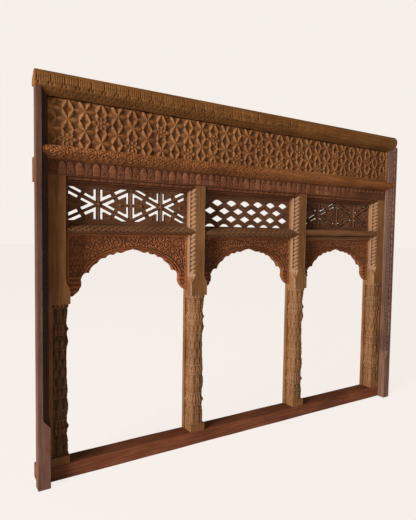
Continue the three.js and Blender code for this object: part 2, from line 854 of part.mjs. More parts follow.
addPiece('sill', sill(), 0x6b3a20);
addPiece('outer_post_left', outerPost(-1), 0x80604a);
addPiece('outer_post_right', outerPost(1), 0x80604a);
addPiece('head_beam', headBeam(), 0x64462f);
addPiece('ledge_moulding', ledgeMoulding(), 0x784b28);
addPiece('star_panel', starPanel(), 0x96643e);
addPiece('crown_beam', crownBeam(), 0x6e4a24);
for (let index = 0; index <= bayCount; index += 1) {
  addPiece(`column_${index + 1}`, column(index), 0x78502d, columnX(index));
}
for (let index = 0; index < bayCount; index += 1) {
  const { starSlot } = bays[index];
  const lattice = starSlot ? starLattice(starSlot) : eyeLattice();
  addPiece(`transom_${index + 1}`, transom(index), 0x5a412d);
  addPiece(`lattice_${index + 1}`, lattice, 0x70482a, bayX(index));
  addPiece(`arch_${index + 1}`, arch(index), 0x6e4128, bayX(index));
}

const jharokha = new THREE.Group();
jharokha.name = 'jharokha_window';
jharokha.add(fixedFrame);

export default jharokha;
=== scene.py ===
"""The looks of a carved jharokha window, laid out as an add-on and run as a script."""

import math

import bpy
import numpy as np
from bpy.props import FloatProperty, FloatVectorProperty, PointerProperty
from bpy.types import Operator, Panel, PropertyGroup
from mathutils import Matrix, Vector


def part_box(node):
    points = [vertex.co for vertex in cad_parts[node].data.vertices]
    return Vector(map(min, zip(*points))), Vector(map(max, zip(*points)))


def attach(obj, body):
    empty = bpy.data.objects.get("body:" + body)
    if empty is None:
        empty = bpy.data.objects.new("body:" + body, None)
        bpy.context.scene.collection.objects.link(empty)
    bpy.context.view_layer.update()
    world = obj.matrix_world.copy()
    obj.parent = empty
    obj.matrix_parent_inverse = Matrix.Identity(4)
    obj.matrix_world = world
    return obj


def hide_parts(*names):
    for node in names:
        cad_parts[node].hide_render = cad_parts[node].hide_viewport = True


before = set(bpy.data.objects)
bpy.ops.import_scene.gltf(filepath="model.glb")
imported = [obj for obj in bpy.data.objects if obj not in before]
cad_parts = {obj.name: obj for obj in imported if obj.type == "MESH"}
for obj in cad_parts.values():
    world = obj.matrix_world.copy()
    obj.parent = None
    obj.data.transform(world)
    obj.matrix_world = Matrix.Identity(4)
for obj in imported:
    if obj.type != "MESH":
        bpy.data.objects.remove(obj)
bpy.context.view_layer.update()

bl_info = {
    "name": "Carved jharokha window",
    "version": (1, 0, 0),
    "blender": (4, 5, 0),
    "location": "View3D > Sidebar > Jharokha",
    "description": "Carves the pieces of a three-bay wooden window and sets its stage",
    "category": "Object",
}

MM = 0.001
BAYS = 3


# Places taken from the frame
def low_of(node):
    return np.array(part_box(node)[0])


def high_of(node):
    return np.array(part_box(node)[1])


BOTTOM = low_of("sill")[2]
HEAD_LOW = low_of("head_beam")[2]
HEAD_TOP = high_of("head_beam")[2]
LEDGE_LOW = low_of("ledge_moulding")[2]
LEDGE_TOP = high_of("ledge_moulding")[2]
POST_TOP = high_of("outer_post_left")[2]
POST_FRONT = low_of("outer_post_left")[1]
POST_BACK = high_of("outer_post_left")[1]
POST_INSIDE = low_of("outer_post_right")[0]
HALF_WIDTH = high_of("outer_post_right")[0]
COLUMN_FRONT = low_of("sill")[1]
TRANSOM_LOW = low_of("transom_2")[2]
COLUMN_HALF = (high_of("column_2")[0] - low_of("column_2")[0]) / 2
COLUMN_X = [
    high_of("column_1")[0] - COLUMN_HALF,
    low_of("column_2")[0] + COLUMN_HALF,
    low_of("column_3")[0] + COLUMN_HALF,
    low_of("column_4")[0] + COLUMN_HALF,
]
BAY_X = [(COLUMN_X[i] + COLUMN_X[i + 1]) / 2 for i in range(BAYS)]
BAY_HALF = (high_of("arch_2")[0] - low_of("arch_2")[0]) / 2
CROWN_LOW = low_of("crown_beam")[2]

# Sizes that the frame's boxes don't give
GAP = 0.3 * MM
POST_CHAMFER = 24 * MM
POST_CHAMFER_FOOT = 235 * MM
STEP_RISE = 22 * MM
FRIEZE_STEPS = (9 * MM, 23 * MM, 35 * MM)
LEDGE_PROUD, LEDGE_ROUND, LEDGE_HOLLOW, LEDGE_TOE = 22.7 * MM, 20 * MM, 22.5 * MM, 4.5 * MM
PANEL_THICK = 22 * MM
CROWN_BEVEL, CROWN_PROUD, CROWN_LIP, CROWN_END_CUT = 27 * MM, 10 * MM, 12 * MM, 22 * MM
CROWN_END_DEPTH = 61.3 * MM
FILLET_SET, FILLET_HEIGHT, CROWN_TOP_DEPTH = 7 * MM, 6 * MM, 16 * MM
BLOCK_RISE, STOP_RISE = 548 * MM, 628 * MM
PLANK_DEPTH, BALUSTER_AXIS, PLINTH_HEIGHT = 16 * MM, 33.5 * MM, 28 * MM
JAMB_ASIDE, JAMB_SET = 22 * MM, 6.3 * MM
TRANSOM_PROUD, TRANSOM_FACE, TRANSOM_EDGE, BEAD_BACK = 67 * MM, 25 * MM, 6 * MM, 31 * MM
BEAD_DROP, BEAD_HEIGHT, BEAD_SWELL = 6 * MM, 9 * MM, 10 * MM
TRANSOM_END = 11 * MM
ARCH_THICK = 22 * MM


# Sizes and colours that a user would change
def length(name, description, default):
    return FloatProperty(
        name=name, description=description, default=default, unit="LENGTH", precision=4
    )


def colour(name, description, default):
    return FloatVectorProperty(
        name=name, description=description, default=default, subtype="COLOR", size=3, min=0, max=1
    )


class JharokhaSizes(PropertyGroup):
    carving_step: length("Carving step", "How far apart the points of the carved skins lie", 0.0025)
    star_spacing: length("Star spacing", "From one star centre of the panel to the next", 0.0654)
    star_depth: length("Star depth", "How deep the hollows between the stars are", 0.007)
    star_first: length("First star", "From the left end of the panel to its first full star", 0.0652)
    star_low: length("Lowest stars", "From the ledge up to the lowest full stars", 0.026)
    petal_width: length("Petal width", "Half the width of a star's ridged petals", 0.0112)
    rosette_radius: length("Rosette radius", "Radius of the rosettes between the stars", 0.024)
    dart_pitch: length("Dart pitch", "From one dart of the crown to the next", 0.0432)
    reed_pitch: length("Reed pitch", "From one fine reed of the crown to the next", 0.0072)
    reed_depth: length("Reed depth", "How deep the crown is reeded", 0.003)
    tongue_pitch: length("Tongue pitch", "From one tongue of the frieze to the next", 0.029)
    tongue_depth: length("Tongue relief", "How far the tongues stand out", 0.004)
    post_pitch: length("Post braid pitch", "From one lobe of the posts' braid to the next", 0.018)
    notch_pitch: length("Notch pitch", "From one notch of the posts' front edge to the next", 0.034)
    braid_pitch: length("Braid pitch", "From one lobe of the column chamfers to the next", 0.0175)
    chamfer_width: length("Chamfer width", "Width of the column chamfers from the front", 0.0145)
    chamfer_depth: length("Chamfer depth", "Depth of the column chamfers from the front", 0.031)
    chamfer_stop: length("Chamfer stop", "Length over which a chamfer runs out", 0.038)
    foliage_depth: length("Foliage depth", "Relief of the arch boards' leaves", 0.005)


class JharokhaColours(PropertyGroup):
    crown: colour("Crown", "Golden brown of the crown", (0.195, 0.082, 0.019))
    panel: colour("Panel", "Warm brown of the star panel", (0.262, 0.110, 0.036))
    ledge: colour("Ledge", "Brown of the ledge moulding", (0.270, 0.100, 0.029))
    head: colour("Head beam", "Brown of the frieze", (0.188, 0.069, 0.029))
    post: colour("Right post", "Purplish brown of the right post", (0.165, 0.085, 0.058))
    left_post: colour("Left post", "Darker purplish brown of the left post", (0.148, 0.073, 0.049))
    column: colour("Columns", "Golden brown of the columns", (0.225, 0.104, 0.036))
    # Painted shade: the first column's wood is a darker copy of the columns' wood, standing in for the
    # left post's shadow.
    jamb: colour("Left jamb", "Darker brown of the first column", (0.215, 0.093, 0.030))
    transom: colour("Transoms", "Dark brown of the transoms", (0.234, 0.107, 0.048))
    lattice: colour("Lattices", "Brown of the pierced boards", (0.130, 0.056, 0.026))
    arch: colour("Arches", "Reddish brown of the arch boards", (0.255, 0.089, 0.030))
    # Painted light: the first arch board's wood is a paler copy of the arches' wood, standing in for more
    # light on the first bay.
    lit_first_arch: colour("First arch", "Paler brown of the first arch board", (0.345, 0.121, 0.042))
    sill: colour("Sill", "Reddish brown of the sill", (0.175, 0.055, 0.023))
    floor: colour("Floor", "Pale floor", (0.90, 0.86, 0.83))
    backdrop: colour("Backdrop", "Pale light around the window", (0.92, 0.863, 0.823))


def sizes():
    return bpy.context.scene.jharokha_sizes


def colours():
    return bpy.context.scene.jharokha_colours


# Patterns, each a function of places that gives a height from 0 to 1
def smooth(value):
    t = np.clip(value, 0, 1)
    return t * t * (3 - 2 * t)


def fraction(value):
    return value - np.floor(value)


def leaf_rows(around, along):
    """Pointed leaves in staggered rows, their tips towards rising along, one leaf to each unit."""
    height = np.zeros(np.broadcast(around, along).shape)
    for behind in (1, 0):
        row = np.floor(along + behind * 0.5)
        v = (along + behind * 0.5) - row
        across = np.abs(fraction(around + 0.5 * np.mod(row + behind, 2)) - 0.5)
        reach = 0.5 * np.cos(0.5 * np.pi * np.clip(v, 0, 1)) ** 0.55
        inside = across < reach
        rib = 1 - 0.5 * np.exp(-((across / 0.05) ** 2))
        rim = 1 - 0.8 * np.exp(-(((across - reach) / 0.06) ** 2))
        veins = 0.8 + 0.2 * np.cos(2 * np.pi * (v - 0.8 * across) / 0.22)
        rounded = 1 - 0.3 * (across / np.maximum(reach, 0.02)) ** 2
        shape = (0.55 + 0.45 * v) * rounded * rib * rim * veins
        height = np.where(inside, np.clip(shape, 0, 1) * (1 - 0.4 * behind), height)
    return height


def dashes(along, across):
    """Rows of long rounded leaves, end to end, each row half a leaf on from the one before."""
    row = np.floor(across)
    v = 2 * (across - row) - 1
    u = 2 * fraction(along + 0.5 * np.mod(row, 2)) - 1
    height = np.sqrt(np.clip(1 - np.abs(u) ** 3 - v**2, 0, 1))
    return height * (1 - 0.4 * np.exp(-((v / 0.22) ** 2)))


def herringbone(along, across):
    """A braid of slanting lobes that meet in the middle."""
    aside = np.abs(2 * across - 1)
    lobe = np.abs(np.sin(np.pi * (along + 0.7 * aside))) ** 0.8
    return lobe * np.clip(1 - aside**4, 0, 1) * (1 - 0.7 * np.exp(-((aside / 0.16) ** 2)))


def leaning_lobes(along, across):
    """Lens-shaped lobes that lean up and outwards, one to each unit, with veins along them."""
    v = 2 * np.abs(fraction(along - 0.7 * across) - 0.5)
    u = np.abs(2 * across - 1)
    edge = 1 - v - 0.9 * u**2.4
    vein = 0.35 * np.exp(-(((v - 0.12) / 0.12) ** 2)) * smooth((0.8 - u) / 0.3)
    return np.clip(smooth(edge / 0.3) - vein, 0, 1)


def row_of_beads(along, across):
    """A row of round beads, one to each unit."""
    round_across = np.clip(1 - (2 * across - 1) ** 2, 0, 1) ** 0.5
    return np.abs(np.sin(np.pi * along)) ** 0.7 * round_across


def curls(x, across, pitch):
    """A running scroll: a row of spirals, each turning against the one before, with beads in them."""
    index = np.round(x / pitch)
    sign = np.where(np.mod(index, 2) > 0, 1, -1)
    dx = x - index * pitch
    dz = across - 0.18 * sign * pitch
    r = np.hypot(dx, dz)
    turn = np.arctan2(dz, dx) * sign
    spiral = 0.5 + 0.5 * np.cos(turn - 2 * np.pi * r / (0.36 * pitch))
    bead = np.clip(1.3 - r / (0.16 * pitch), 0, 1)
    return np.clip(np.maximum(spiral**0.8, bead), 0, 1)


def worn(x, start, end):
    """How much of a carving is left, from all of it before start to none after end."""
    return 1 - smooth((x - start) / (end - start))


def scroll(x, z, cell, wave):
    """Curled foliage: spirals round a staggered net of centres, their leaves lobed."""
    nearest = np.full(np.broadcast(x, z).shape, 1e3)
    height = np.zeros(nearest.shape)
    for shift in (0, 1):
        across = np.round(x / cell - 0.5 * shift) + 0.5 * shift
        up = np.round(z / (1.7 * cell) - 0.5 * shift) + 0.5 * shift
        dx, dz = x - across * cell, z - up * 1.7 * cell
        r = np.hypot(dx, dz)
        way = np.where(np.mod(np.floor(across) + shift, 2) > 0, 1, -1)
        turn = np.arctan2(dz, dx) * way
        spiral = 0.5 + 0.5 * np.cos(turn - 2 * np.pi * r / wave)
        lobes = 0.66 + 0.34 * np.cos(9 * turn + 16 * r / cell)
        bead = np.clip(1.4 - r / (0.3 * wave), 0, 1)
        shape = np.maximum(spiral**0.8 * lobes, bead)
        height = np.where(r < nearest, shape, height)
        nearest = np.minimum(nearest, r)
    return np.clip(height, 0, 1)


# Making pieces
def bezier(controls, steps):
    """Places along a curve of any degree, without its last end."""
    t = np.linspace(0, 1, steps, endpoint=False)[:, None]
    places = [np.array(c, float)[None] + 0 * t for c in controls]
    while len(places) > 1:
        places = [a * (1 - t) + b * t for a, b in zip(places[:-1], places[1:])]
    return [tuple(p) for p in places[0]]


def edit(piece, *steps):
    """Runs operators on all of one piece in edit mode."""
    bpy.ops.object.select_all(action="DESELECT")
    piece.select_set(True)
    bpy.context.view_layer.objects.active = piece
    bpy.ops.object.mode_set(mode="EDIT")
    for step in steps:
        bpy.ops.mesh.select_all(action="SELECT")
        step()
    bpy.ops.object.mode_set(mode="OBJECT")


def skin(name, points, painted_light_and_wear):
    """A closed piece from a grid of places: columns run round a section, rows along the piece."""
    rows, columns = painted_light_and_wear.shape
    points = np.concatenate([points, points[:, :1]], axis=1)
    painted_light_and_wear = np.concatenate([painted_light_and_wear, painted_light_and_wear[:, :1]], axis=1)
    bpy.ops.object.select_all(action="DESELECT")
    bpy.ops.mesh.primitive_grid_add(x_subdivisions=columns, y_subdivisions=rows - 1, calc_uvs=False)
    piece = bpy.context.object
    piece.name = name
    mesh = piece.data
    if len(mesh.vertices) != painted_light_and_wear.size:
        raise RuntimeError(f"{name}: the grid has {len(mesh.vertices)} points, not {painted_light_and_wear.size}")
    mesh.vertices.foreach_set("co", points.astype(np.float32).ravel())
    shade = mesh.attributes.new("painted_light_and_wear", "FLOAT", "POINT")
    shade.data.foreach_set("value", painted_light_and_wear.astype(np.float32).ravel())
    mesh.update()
    edit(
        piece,
        lambda: bpy.ops.mesh.remove_doubles(threshold=1e-6),
        lambda: bpy.ops.mesh.fill_holes(sides=0),
        lambda: bpy.ops.mesh.normals_make_consistent(inside=False),
    )
    bpy.ops.object.shade_smooth_by_angle(angle=math.radians(40))
    return piece


def carved_length(name, axis, stations, corners, steps, relief):
    """A closed section drawn along an axis and carved.

    corners are the section's, for all stations or for each; steps says how many parts each side
    of the section has; relief gives height and painted shade (negative values paint the wood pale, as wear
    and painted highlight) from the place along, the two places across, the side of the section, the share
    of that side and the distance round the section.
    """
    stations = np.asarray(stations, float)
    corners = np.asarray(corners, float)
    if corners.ndim == 2:
        corners = np.repeat(corners[None], len(stations), axis=0)
    following = np.roll(corners, -1, axis=1)
    side = np.repeat(np.arange(corners.shape[1]), steps)
    u = np.concatenate([np.arange(n) / n for n in steps])
    section = corners[:, side] * (1 - u)[None, :, None] + following[:, side] * u[None, :, None]
    first = corners[0]
    area = np.sum(first[:, 0] * np.roll(first[:, 1], -1) - first[:, 1] * np.roll(first[:, 0], -1))
    way = np.roll(section, -1, axis=1) - np.roll(section, 1, axis=1)
    way /= np.maximum(np.linalg.norm(way, axis=2, keepdims=True), 1e-9)
    normal = np.stack([way[..., 1], -way[..., 0]], axis=2) * (1 if area > 0 else -1)
    along = stations[:, None] + 0 * section[..., 0]
    lengths = np.linalg.norm(np.roll(first, -1, axis=0) - first, axis=1)
    run = np.concatenate([[0], np.cumsum(lengths)])[side] + u * lengths[side]
    places = (section[..., 0], section[..., 1], side[None, :], u[None, :], run[None, :])
    height, painted_light_and_wear = relief(along, *places)
    placed = section + normal * (height + 0 * along)[..., None]
    parts = [placed[..., 0], placed[..., 1]]
    parts.insert(0 if axis == "X" else 2, along)
    return skin(name, np.stack(parts, axis=2), np.clip(painted_light_and_wear + 0 * along, -1, 1))


def stations_between(start, end, step):
    return np.linspace(start, end, max(2, int(round((end - start) / step)) + 1))


def joined(name, *pieces):
    """Several closed shapes as one piece."""
    bpy.ops.object.select_all(action="DESELECT")
    for piece in pieces:
        piece.select_set(True)
    bpy.context.view_layer.objects.active = pieces[0]
    if len(pieces) > 1:
        bpy.ops.object.join()
    pieces[0].name = name
    return pieces[0]


def settle(piece, node, material):
    """Gives a piece its finish, and its node's place in the frame."""
    piece.data.materials.clear()
    piece.data.materials.append(material)
    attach(piece, "root")
    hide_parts(node)
    return piece


def plain(x, a, b, side, u, run):
    """Uncarved wood, a little uneven from age."""
    uneven = 0.25 * MM * (np.sin(9 * x) + np.sin(23 * x + 40 * a))
    return uneven, 0 * x


# Wood
def worn_highlight_tint(base):
    """Paler and greyer than the wood, as on ridges that hands and weather have rubbed, and as a painted
    highlight.
    """
    grey = sum(base) / 3
    return [1.35 * (0.67 * c + 0.33 * grey) + 0.01 for c in base]


def add_node(tree, kind, values=(), **settings):
    """A shader node, its settings made first and then the values of its inputs."""
    node = tree.nodes.new(kind)
    for name, value in settings.items():
        setattr(node, name, value)
    for name, value in dict(values).items():
        node.inputs[name].default_value = value
    return node


def tint_mix(tree, factor, first, second, blend="MIX"):
    """Mixes the tint of a socket with a plain one."""
    node = add_node(tree, "ShaderNodeMix", data_type="RGBA", blend_type=blend)
    node.inputs["B"].default_value = (*second, 1)
    tree.links.new(factor, node.inputs["Factor"])
    tree.links.new(first, node.inputs["A"])
    return node.outputs["Result"]


def aged_wood(name, base, grain, rough=0.62, pale=1.5, dark=0.16):
    """Old oiled wood: streaks along the grain, painted shade in the hollows, ridges painted pale as wear
    and painted highlight, dust and stains.
    """
    material = bpy.data.materials.new(name)
    material.use_nodes = True
    tree = material.node_tree
    tree.nodes.clear()
    output = add_node(tree, "ShaderNodeOutputMaterial")
    shader = add_node(tree, "ShaderNodeBsdfPrincipled", {"Metallic": 0, "Specular IOR Level": 0.2})
    place = add_node(tree, "ShaderNodeTexCoord")
    along_grain = {"X": (3, 60, 60), "Z": (60, 60, 3)}[grain]
    stretch = add_node(tree, "ShaderNodeMapping", {"Scale": along_grain})
    fibres = add_node(tree, "ShaderNodeTexNoise", {"Scale": 2.4, "Detail": 8, "Roughness": 0.68})
    stains = add_node(tree, "ShaderNodeTexNoise", {"Scale": 7, "Detail": 4})
    tree.links.new(shader.outputs["BSDF"], output.inputs["Surface"])
    tree.links.new(place.outputs["Object"], stretch.inputs["Vector"])
    tree.links.new(stretch.outputs["Vector"], fibres.inputs["Vector"])
    tree.links.new(place.outputs["Object"], stains.inputs["Vector"])

    ramp = add_node(tree, "ShaderNodeValToRGB")
    ramp.color_ramp.elements.new(0.5)
    tones = ((0.28, 0.42), (0.5, 1.0), (0.74, pale))
    for element, (position, share) in zip(ramp.color_ramp.elements, tones):
        element.position = position
        element.color = (*[min(1, c * share) for c in base], 1)
    tree.links.new(fibres.outputs["Fac"], ramp.inputs["Fac"])

    spread = {"From Min": 0.35, "From Max": 0.65, "To Min": 0.75, "To Max": 0}
    stain_share = add_node(tree, "ShaderNodeMapRange", spread)
    # painted_light_and_wear: positive values darken the wood as painted shade, negative values paint it
    # pale as wear and painted highlight
    depth = add_node(tree, "ShaderNodeAttribute", attribute_name="painted_light_and_wear")
    worn_highlight_share = add_node(tree, "ShaderNodeMath", operation="MULTIPLY", use_clamp=True)
    worn_highlight_share.inputs[1].default_value = -1
    tree.links.new(stains.outputs["Fac"], stain_share.inputs["Value"])
    tree.links.new(depth.outputs["Fac"], worn_highlight_share.inputs[0])
    tint = ramp.outputs["Color"]
    tint = tint_mix(tree, stain_share.outputs["Result"], tint, (0.62, 0.52, 0.46), "MULTIPLY")
    # Worn ridges and painted highlight: negative values mix in the paler tint
    tint = tint_mix(tree, worn_highlight_share.outputs["Value"], tint, worn_highlight_tint(base))
    # Painted shade: at full value the wood takes its base tone times dark
    tint = tint_mix(tree, depth.outputs["Fac"], tint, [c * dark for c in base])
    tree.links.new(tint, shader.inputs["Base Color"])

    gloss = add_node(tree, "ShaderNodeMapRange", {"To Min": rough - 0.12, "To Max": rough + 0.18})
    tree.links.new(stains.outputs["Fac"], gloss.inputs["Value"])
    tree.links.new(gloss.outputs["Result"], shader.inputs["Roughness"])
    bump = add_node(tree, "ShaderNodeBump", {"Strength": 0.35, "Distance": 0.002})
    tree.links.new(fibres.outputs["Fac"], bump.inputs["Height"])
    tree.links.new(bump.outputs["Normal"], shader.inputs["Normal"])
    return material


# Sill
class JHAROKHA_OT_sill(Operator):
    """Makes the sill, a plain beam with rubbed edges"""

    bl_idname = "jharokha.sill"
    bl_label = "Sill"

    def execute(self, context):
        low, high = low_of("sill"), high_of("sill")
        edge = 2 * MM
        corners = [
            (low[1] + edge, low[2]), (high[1] - edge, low[2]), (high[1], low[2] + edge),
            (high[1], high[2] - edge), (high[1] - edge, high[2]), (low[1] + edge, high[2]),
            (low[1], high[2] - edge), (low[1], low[2] + edge),
        ]
        stations = stations_between(low[0], high[0], 10 * MM)
        piece = carved_length("sill_beam", "X", stations, corners, [4, 1, 4, 1, 4, 1, 4, 1], plain)
        wood = aged_wood("Sill wood", colours().sill, "X", pale=1.7)
        settle(piece, "sill", wood)
        return {"FINISHED"}


# Outer posts
def post_piece(side, material):
    size = sizes()
    low, high = BOTTOM, POST_TOP
    stations = stations_between(low, high, size.carving_step)
    foot = low + POST_CHAMFER_FOOT
    run = smooth((stations - (foot - size.chamfer_stop)) / size.chamfer_stop)
    worn_edge = 0.6 * MM
    chamfer = worn_edge + run * (POST_CHAMFER - worn_edge)
    one = np.ones_like(stations)
    inner, outer = POST_INSIDE, HALF_WIDTH
    plan = np.stack(
        [
            np.stack([inner * one, POST_BACK * one], 1),
            np.stack([inner * one, POST_FRONT + chamfer], 1),
            np.stack([inner + chamfer, POST_FRONT * one], 1),
            np.stack([outer * one, POST_FRONT * one], 1),
            np.stack([outer * one, POST_BACK * one], 1),
        ],
        axis=1,
    )
    plan[..., 0] *= side

    def relief(z, x, y, which, u, run):
        on_chamfer = which == 1
        shown = smooth((z - foot) / 0.02)
        braid = herringbone((z - foot) / size.post_pitch, np.clip((u - 0.28) / 0.54, 0, 1))
        braid = (1 - braid) * smooth((u - 0.24) / 0.05) * smooth((0.88 - u) / 0.05)
        notch = np.exp(-(((fraction((z - foot) / size.notch_pitch) - 0.5) / 0.13) ** 2))
        sunk = np.maximum(braid, notch * smooth((u - 0.84) / 0.05)) * on_chamfer * shown
        uneven = 0.2 * MM * np.sin(17 * z)
        height_share = (z - low) / (high - low)
        # Painted shade: the left post's inner chamfer, turned from the light, is painted dark, and the
        # left post is darker towards its top; the right post's chamfer is painted darker along its back
        # edge.
        if side < 0:
            painted_light = np.where(on_chamfer, 0.8, 0.4 * height_share)
        else:
            painted_light = 0.22 * on_chamfer * smooth((0.3 - u) / 0.1) * shown
        # The braid's and notches' hollows are painted dark as shade.
        return uneven * (which == 2) - 3.6 * MM * sunk, np.maximum(0.9 * sunk, painted_light)

    node = "outer_post_left" if side < 0 else "outer_post_right"
    piece = carved_length(f"{node}_carved", "Z", stations, plan, [2, 22, 6, 4, 4], relief)
    return settle(piece, node, material)


class JHAROKHA_OT_outer_posts(Operator):
    """Makes the outer posts, with a braid on their stopped chamfers"""

    bl_idname = "jharokha.outer_posts"
    bl_label = "Outer posts"

    def execute(self, context):
        dark_wood = aged_wood("Left post wood", colours().left_post, "Z")
        wood = aged_wood("Right post wood", colours().post, "Z")
        post_piece(-1, dark_wood)
        post_piece(1, wood)
        return {"FINISHED"}


# Head beam with its frieze
class JHAROKHA_OT_head_beam(Operator):
    """Makes the head beam: a frieze of tongues, and a leafed and beaded stepped underside"""

    bl_idname = "jharokha.head_beam"
    bl_label = "Head beam"

    def execute(self, context):
        size = sizes()
        low, high = low_of("head_beam"), high_of("head_beam")
        front = COLUMN_FRONT
        frieze_low = HEAD_LOW + STEP_RISE
        corners = [(0, HEAD_LOW), (0, HEAD_TOP), (front, HEAD_TOP), (front, frieze_low)]
        level = frieze_low
        for back_by, rise in zip(FRIEZE_STEPS, (STEP_RISE / 2, STEP_RISE / 4, 0)):
            corners.append((front + back_by, level))
            level = HEAD_LOW + rise
            corners.append((front + back_by, level))

        def relief(x, y, z, which, u, run):
            between = np.abs(x) < POST_INSIDE
            v = (z - frieze_low) / (LEDGE_LOW - frieze_low)
            f = x / size.tongue_pitch
            index = np.floor(f)
            across = np.abs(f - index - 0.5) * 2
            leafy = np.mod(index, 2) > 0
            reach = np.sqrt(np.clip(1 - (np.clip(v - 0.4, 0, 1) / 0.54) ** 2, 0, 1))
            tongue = smooth((reach - across) / 0.16) * smooth((v - 0.05) / 0.04)
            crossing = np.abs(np.abs(across - 0.04) - np.abs(1.5 * (v - 0.5)))
            veins = 0.55 + 0.45 * np.cos(2 * np.pi * crossing / 0.24)
            drilled = np.exp(-(((across - 0.12) / 0.14) ** 2 + ((v - 0.3) / 0.07) ** 2))
            drilled += np.exp(-(((across - 0.62) / 0.14) ** 2 + ((v - 0.62) / 0.06) ** 2))
            leaf = tongue * veins * (1 - np.clip(drilled, 0, 1))
            reeds = 1 - 0.3 * (0.5 + 0.5 * np.cos(2 * np.pi * across / 0.34)) * smooth((0.5 - v) / 0.1)
            raised = np.where(leafy, leaf, tongue * (1 - 0.3 * across**2) * reeds)
            kept = worn(x, 0.42, 0.72)
            raised = kept * raised + (1 - kept) * tongue * smooth((v - 0.62) / 0.06)
            on_frieze = (which == 2) & between & (v < 1)
            leaves = dashes(x / size.tongue_pitch, 0.999 * u) * (which == 4)
            beads = row_of_beads(x / (9 * MM), u) * (which == 6)
            height = on_frieze * size.tongue_depth * raised + 3 * MM * leaves + 2 * MM * beads
            # Painted shade under the beam: on the steps' undersides between leaves and beads and on the
            # back step, and in the frieze's hollows.
            under = ((which == 4) * (1 - leaves) + (which == 6) * (1 - beads)) * 0.6 + (which == 8) * 0.5
            painted_light_and_wear = on_frieze * (1 - raised) * 0.5 + under
            return height, painted_light_and_wear

        steps = [2, 2, 34, 2, 7, 3, 5, 2, 2, 2]
        stations = stations_between(low[0], high[0], size.carving_step)
        piece = carved_length("head_beam_carved", "X", stations, corners, steps, relief)
        settle(piece, "head_beam", aged_wood("Head wood", colours().head, "X"))
        return {"FINISHED"}


# Ledge moulding
class JHAROKHA_OT_ledge(Operator):
    """Makes the ledge moulding under the star panel, with its running scroll"""

    bl_idname = "jharokha.ledge"
    bl_label = "Ledge moulding"

    def execute(self, context):
        low, high = low_of("ledge_moulding"), high_of("ledge_moulding")
        back = high[1]
        panel_front = low_of("star_panel")[1] - GAP
        front = panel_front - LEDGE_PROUD
        rounding = high[2] - LEDGE_ROUND
        corners = [(back, low[2]), (back, HEAD_TOP), (panel_front, HEAD_TOP), (panel_front, high[2])]
        straight = len(corners)
        lip = (front + 7.6 * MM, high[2])
        swell = (front - 2.8 * MM, high[2] - LEDGE_ROUND / 2)
        nose_place = (front + 1 * MM, rounding)
        hollow_pull = (back - LEDGE_HOLLOW, rounding - 0.75 * LEDGE_ROUND)
        toe = (back - LEDGE_TOE, low[2])
        corners += bezier([lip, swell, nose_place], 9) + bezier([nose_place, hollow_pull, toe], 14) + [toe]
        nose = sum(math.dist(a, b) for a, b in zip(corners[: straight], corners[1 : straight + 1]))

        def relief(x, y, z, which, u, run):
            carve = which >= straight
            left = worn(x, -0.2, 0.6)
            down = run - nose
            upper_band = curls(x, down - 9 * MM, 21 * MM)
            lower_band = curls(x + 5 * MM, down - 29 * MM, 26 * MM)
            raised = np.where(down < 18 * MM, upper_band, lower_band)
            rail = np.exp(-(((down - 18 * MM) / (1.6 * MM)) ** 2))
            rail += smooth((2.5 * MM - down) / (2 * MM))
            raised = np.clip(np.maximum(raised, rail), 0, 1)
            fade = carve * (0.35 + 0.65 * left)
            # The scroll's hollows are painted dark as shade, less where the carving is worn away.
            return -3.6 * MM * (1 - raised) * fade, 0.65 * (1 - raised) * fade

        stations = stations_between(low[0], high[0], 0.85 * sizes().carving_step)
        steps = [1] * straight + [2] * (len(corners) - straight)
        piece = carved_length("ledge_carved", "X", stations, corners, steps, relief)
        settle(piece, "ledge_moulding", aged_wood("Ledge wood", colours().ledge, "X"))
        return {"FINISHED"}


# Star panel
def star_relief(x, z):
    """Height of the star carving: petals from each centre of a triangular net, and rosettes."""
    size = sizes()
    spacing = size.star_spacing
    column_step = spacing * math.cos(math.pi / 6)
    start = -POST_INSIDE + size.star_first
    base = LEDGE_TOP + size.star_low
    near = np.full(x.shape, 1e3)
    offset_x, offset_z = np.zeros(x.shape), np.zeros(x.shape)
    rosette = np.zeros(x.shape, bool)
    middle = np.round((x - start) / column_step)
    for across in (-1, 0, 1):
        index = middle + across
        odd = np.mod(index, 2)
        row = np.round((z - base) / spacing - odd / 2)
        dx = x - start - index * column_step
        dz = z - base - (row + odd / 2) * spacing
        distance = np.hypot(dx, dz)
        closer = distance < near
        near = np.where(closer, distance, near)
        offset_x = np.where(closer, dx, offset_x)
        offset_z = np.where(closer, dz, offset_z)
        has = ((row == 0) & (np.mod(index, 4) == 0)) | ((row == 1) & (np.mod(index, 4) == 2))
        rosette = np.where(closer, has & (odd == 0), rosette)
    angle = np.arctan2(offset_z, offset_x)
    turn = np.mod(angle + np.pi / 6, np.pi / 3) - np.pi / 6
    away = near * np.abs(np.sin(turn))
    share = near * np.cos(turn) / (spacing / math.sqrt(3))
    sharp = smooth((x + 0.2) / 0.9)
    lens = 0.2 + 0.8 * np.sin(np.pi * np.clip(share, 0.02, 0.98)) ** 0.8
    wide = size.petal_width * (1 - 0.35 * sharp) * lens
    star = np.clip(1 - away / wide, 0, 1)
    cup = np.hypot(near * np.cos(turn) - 0.66 * size.rosette_radius, away) / size.rosette_radius
    rim = np.clip(1 - np.abs(cup - 0.3) / 0.12, 0, 1) * smooth((near - 8 * MM) / (3 * MM))
    bead = np.sqrt(np.clip(1 - (near / (5 * MM)) ** 2, 0, 1))
    dish = 0.45 * np.maximum(near < 0.7 * size.rosette_radius, cup < 0.3)
    flower = np.maximum(np.maximum(rim, bead), dish)
    inside = rosette & (near < size.rosette_radius)
    return np.where(inside, flower, star)


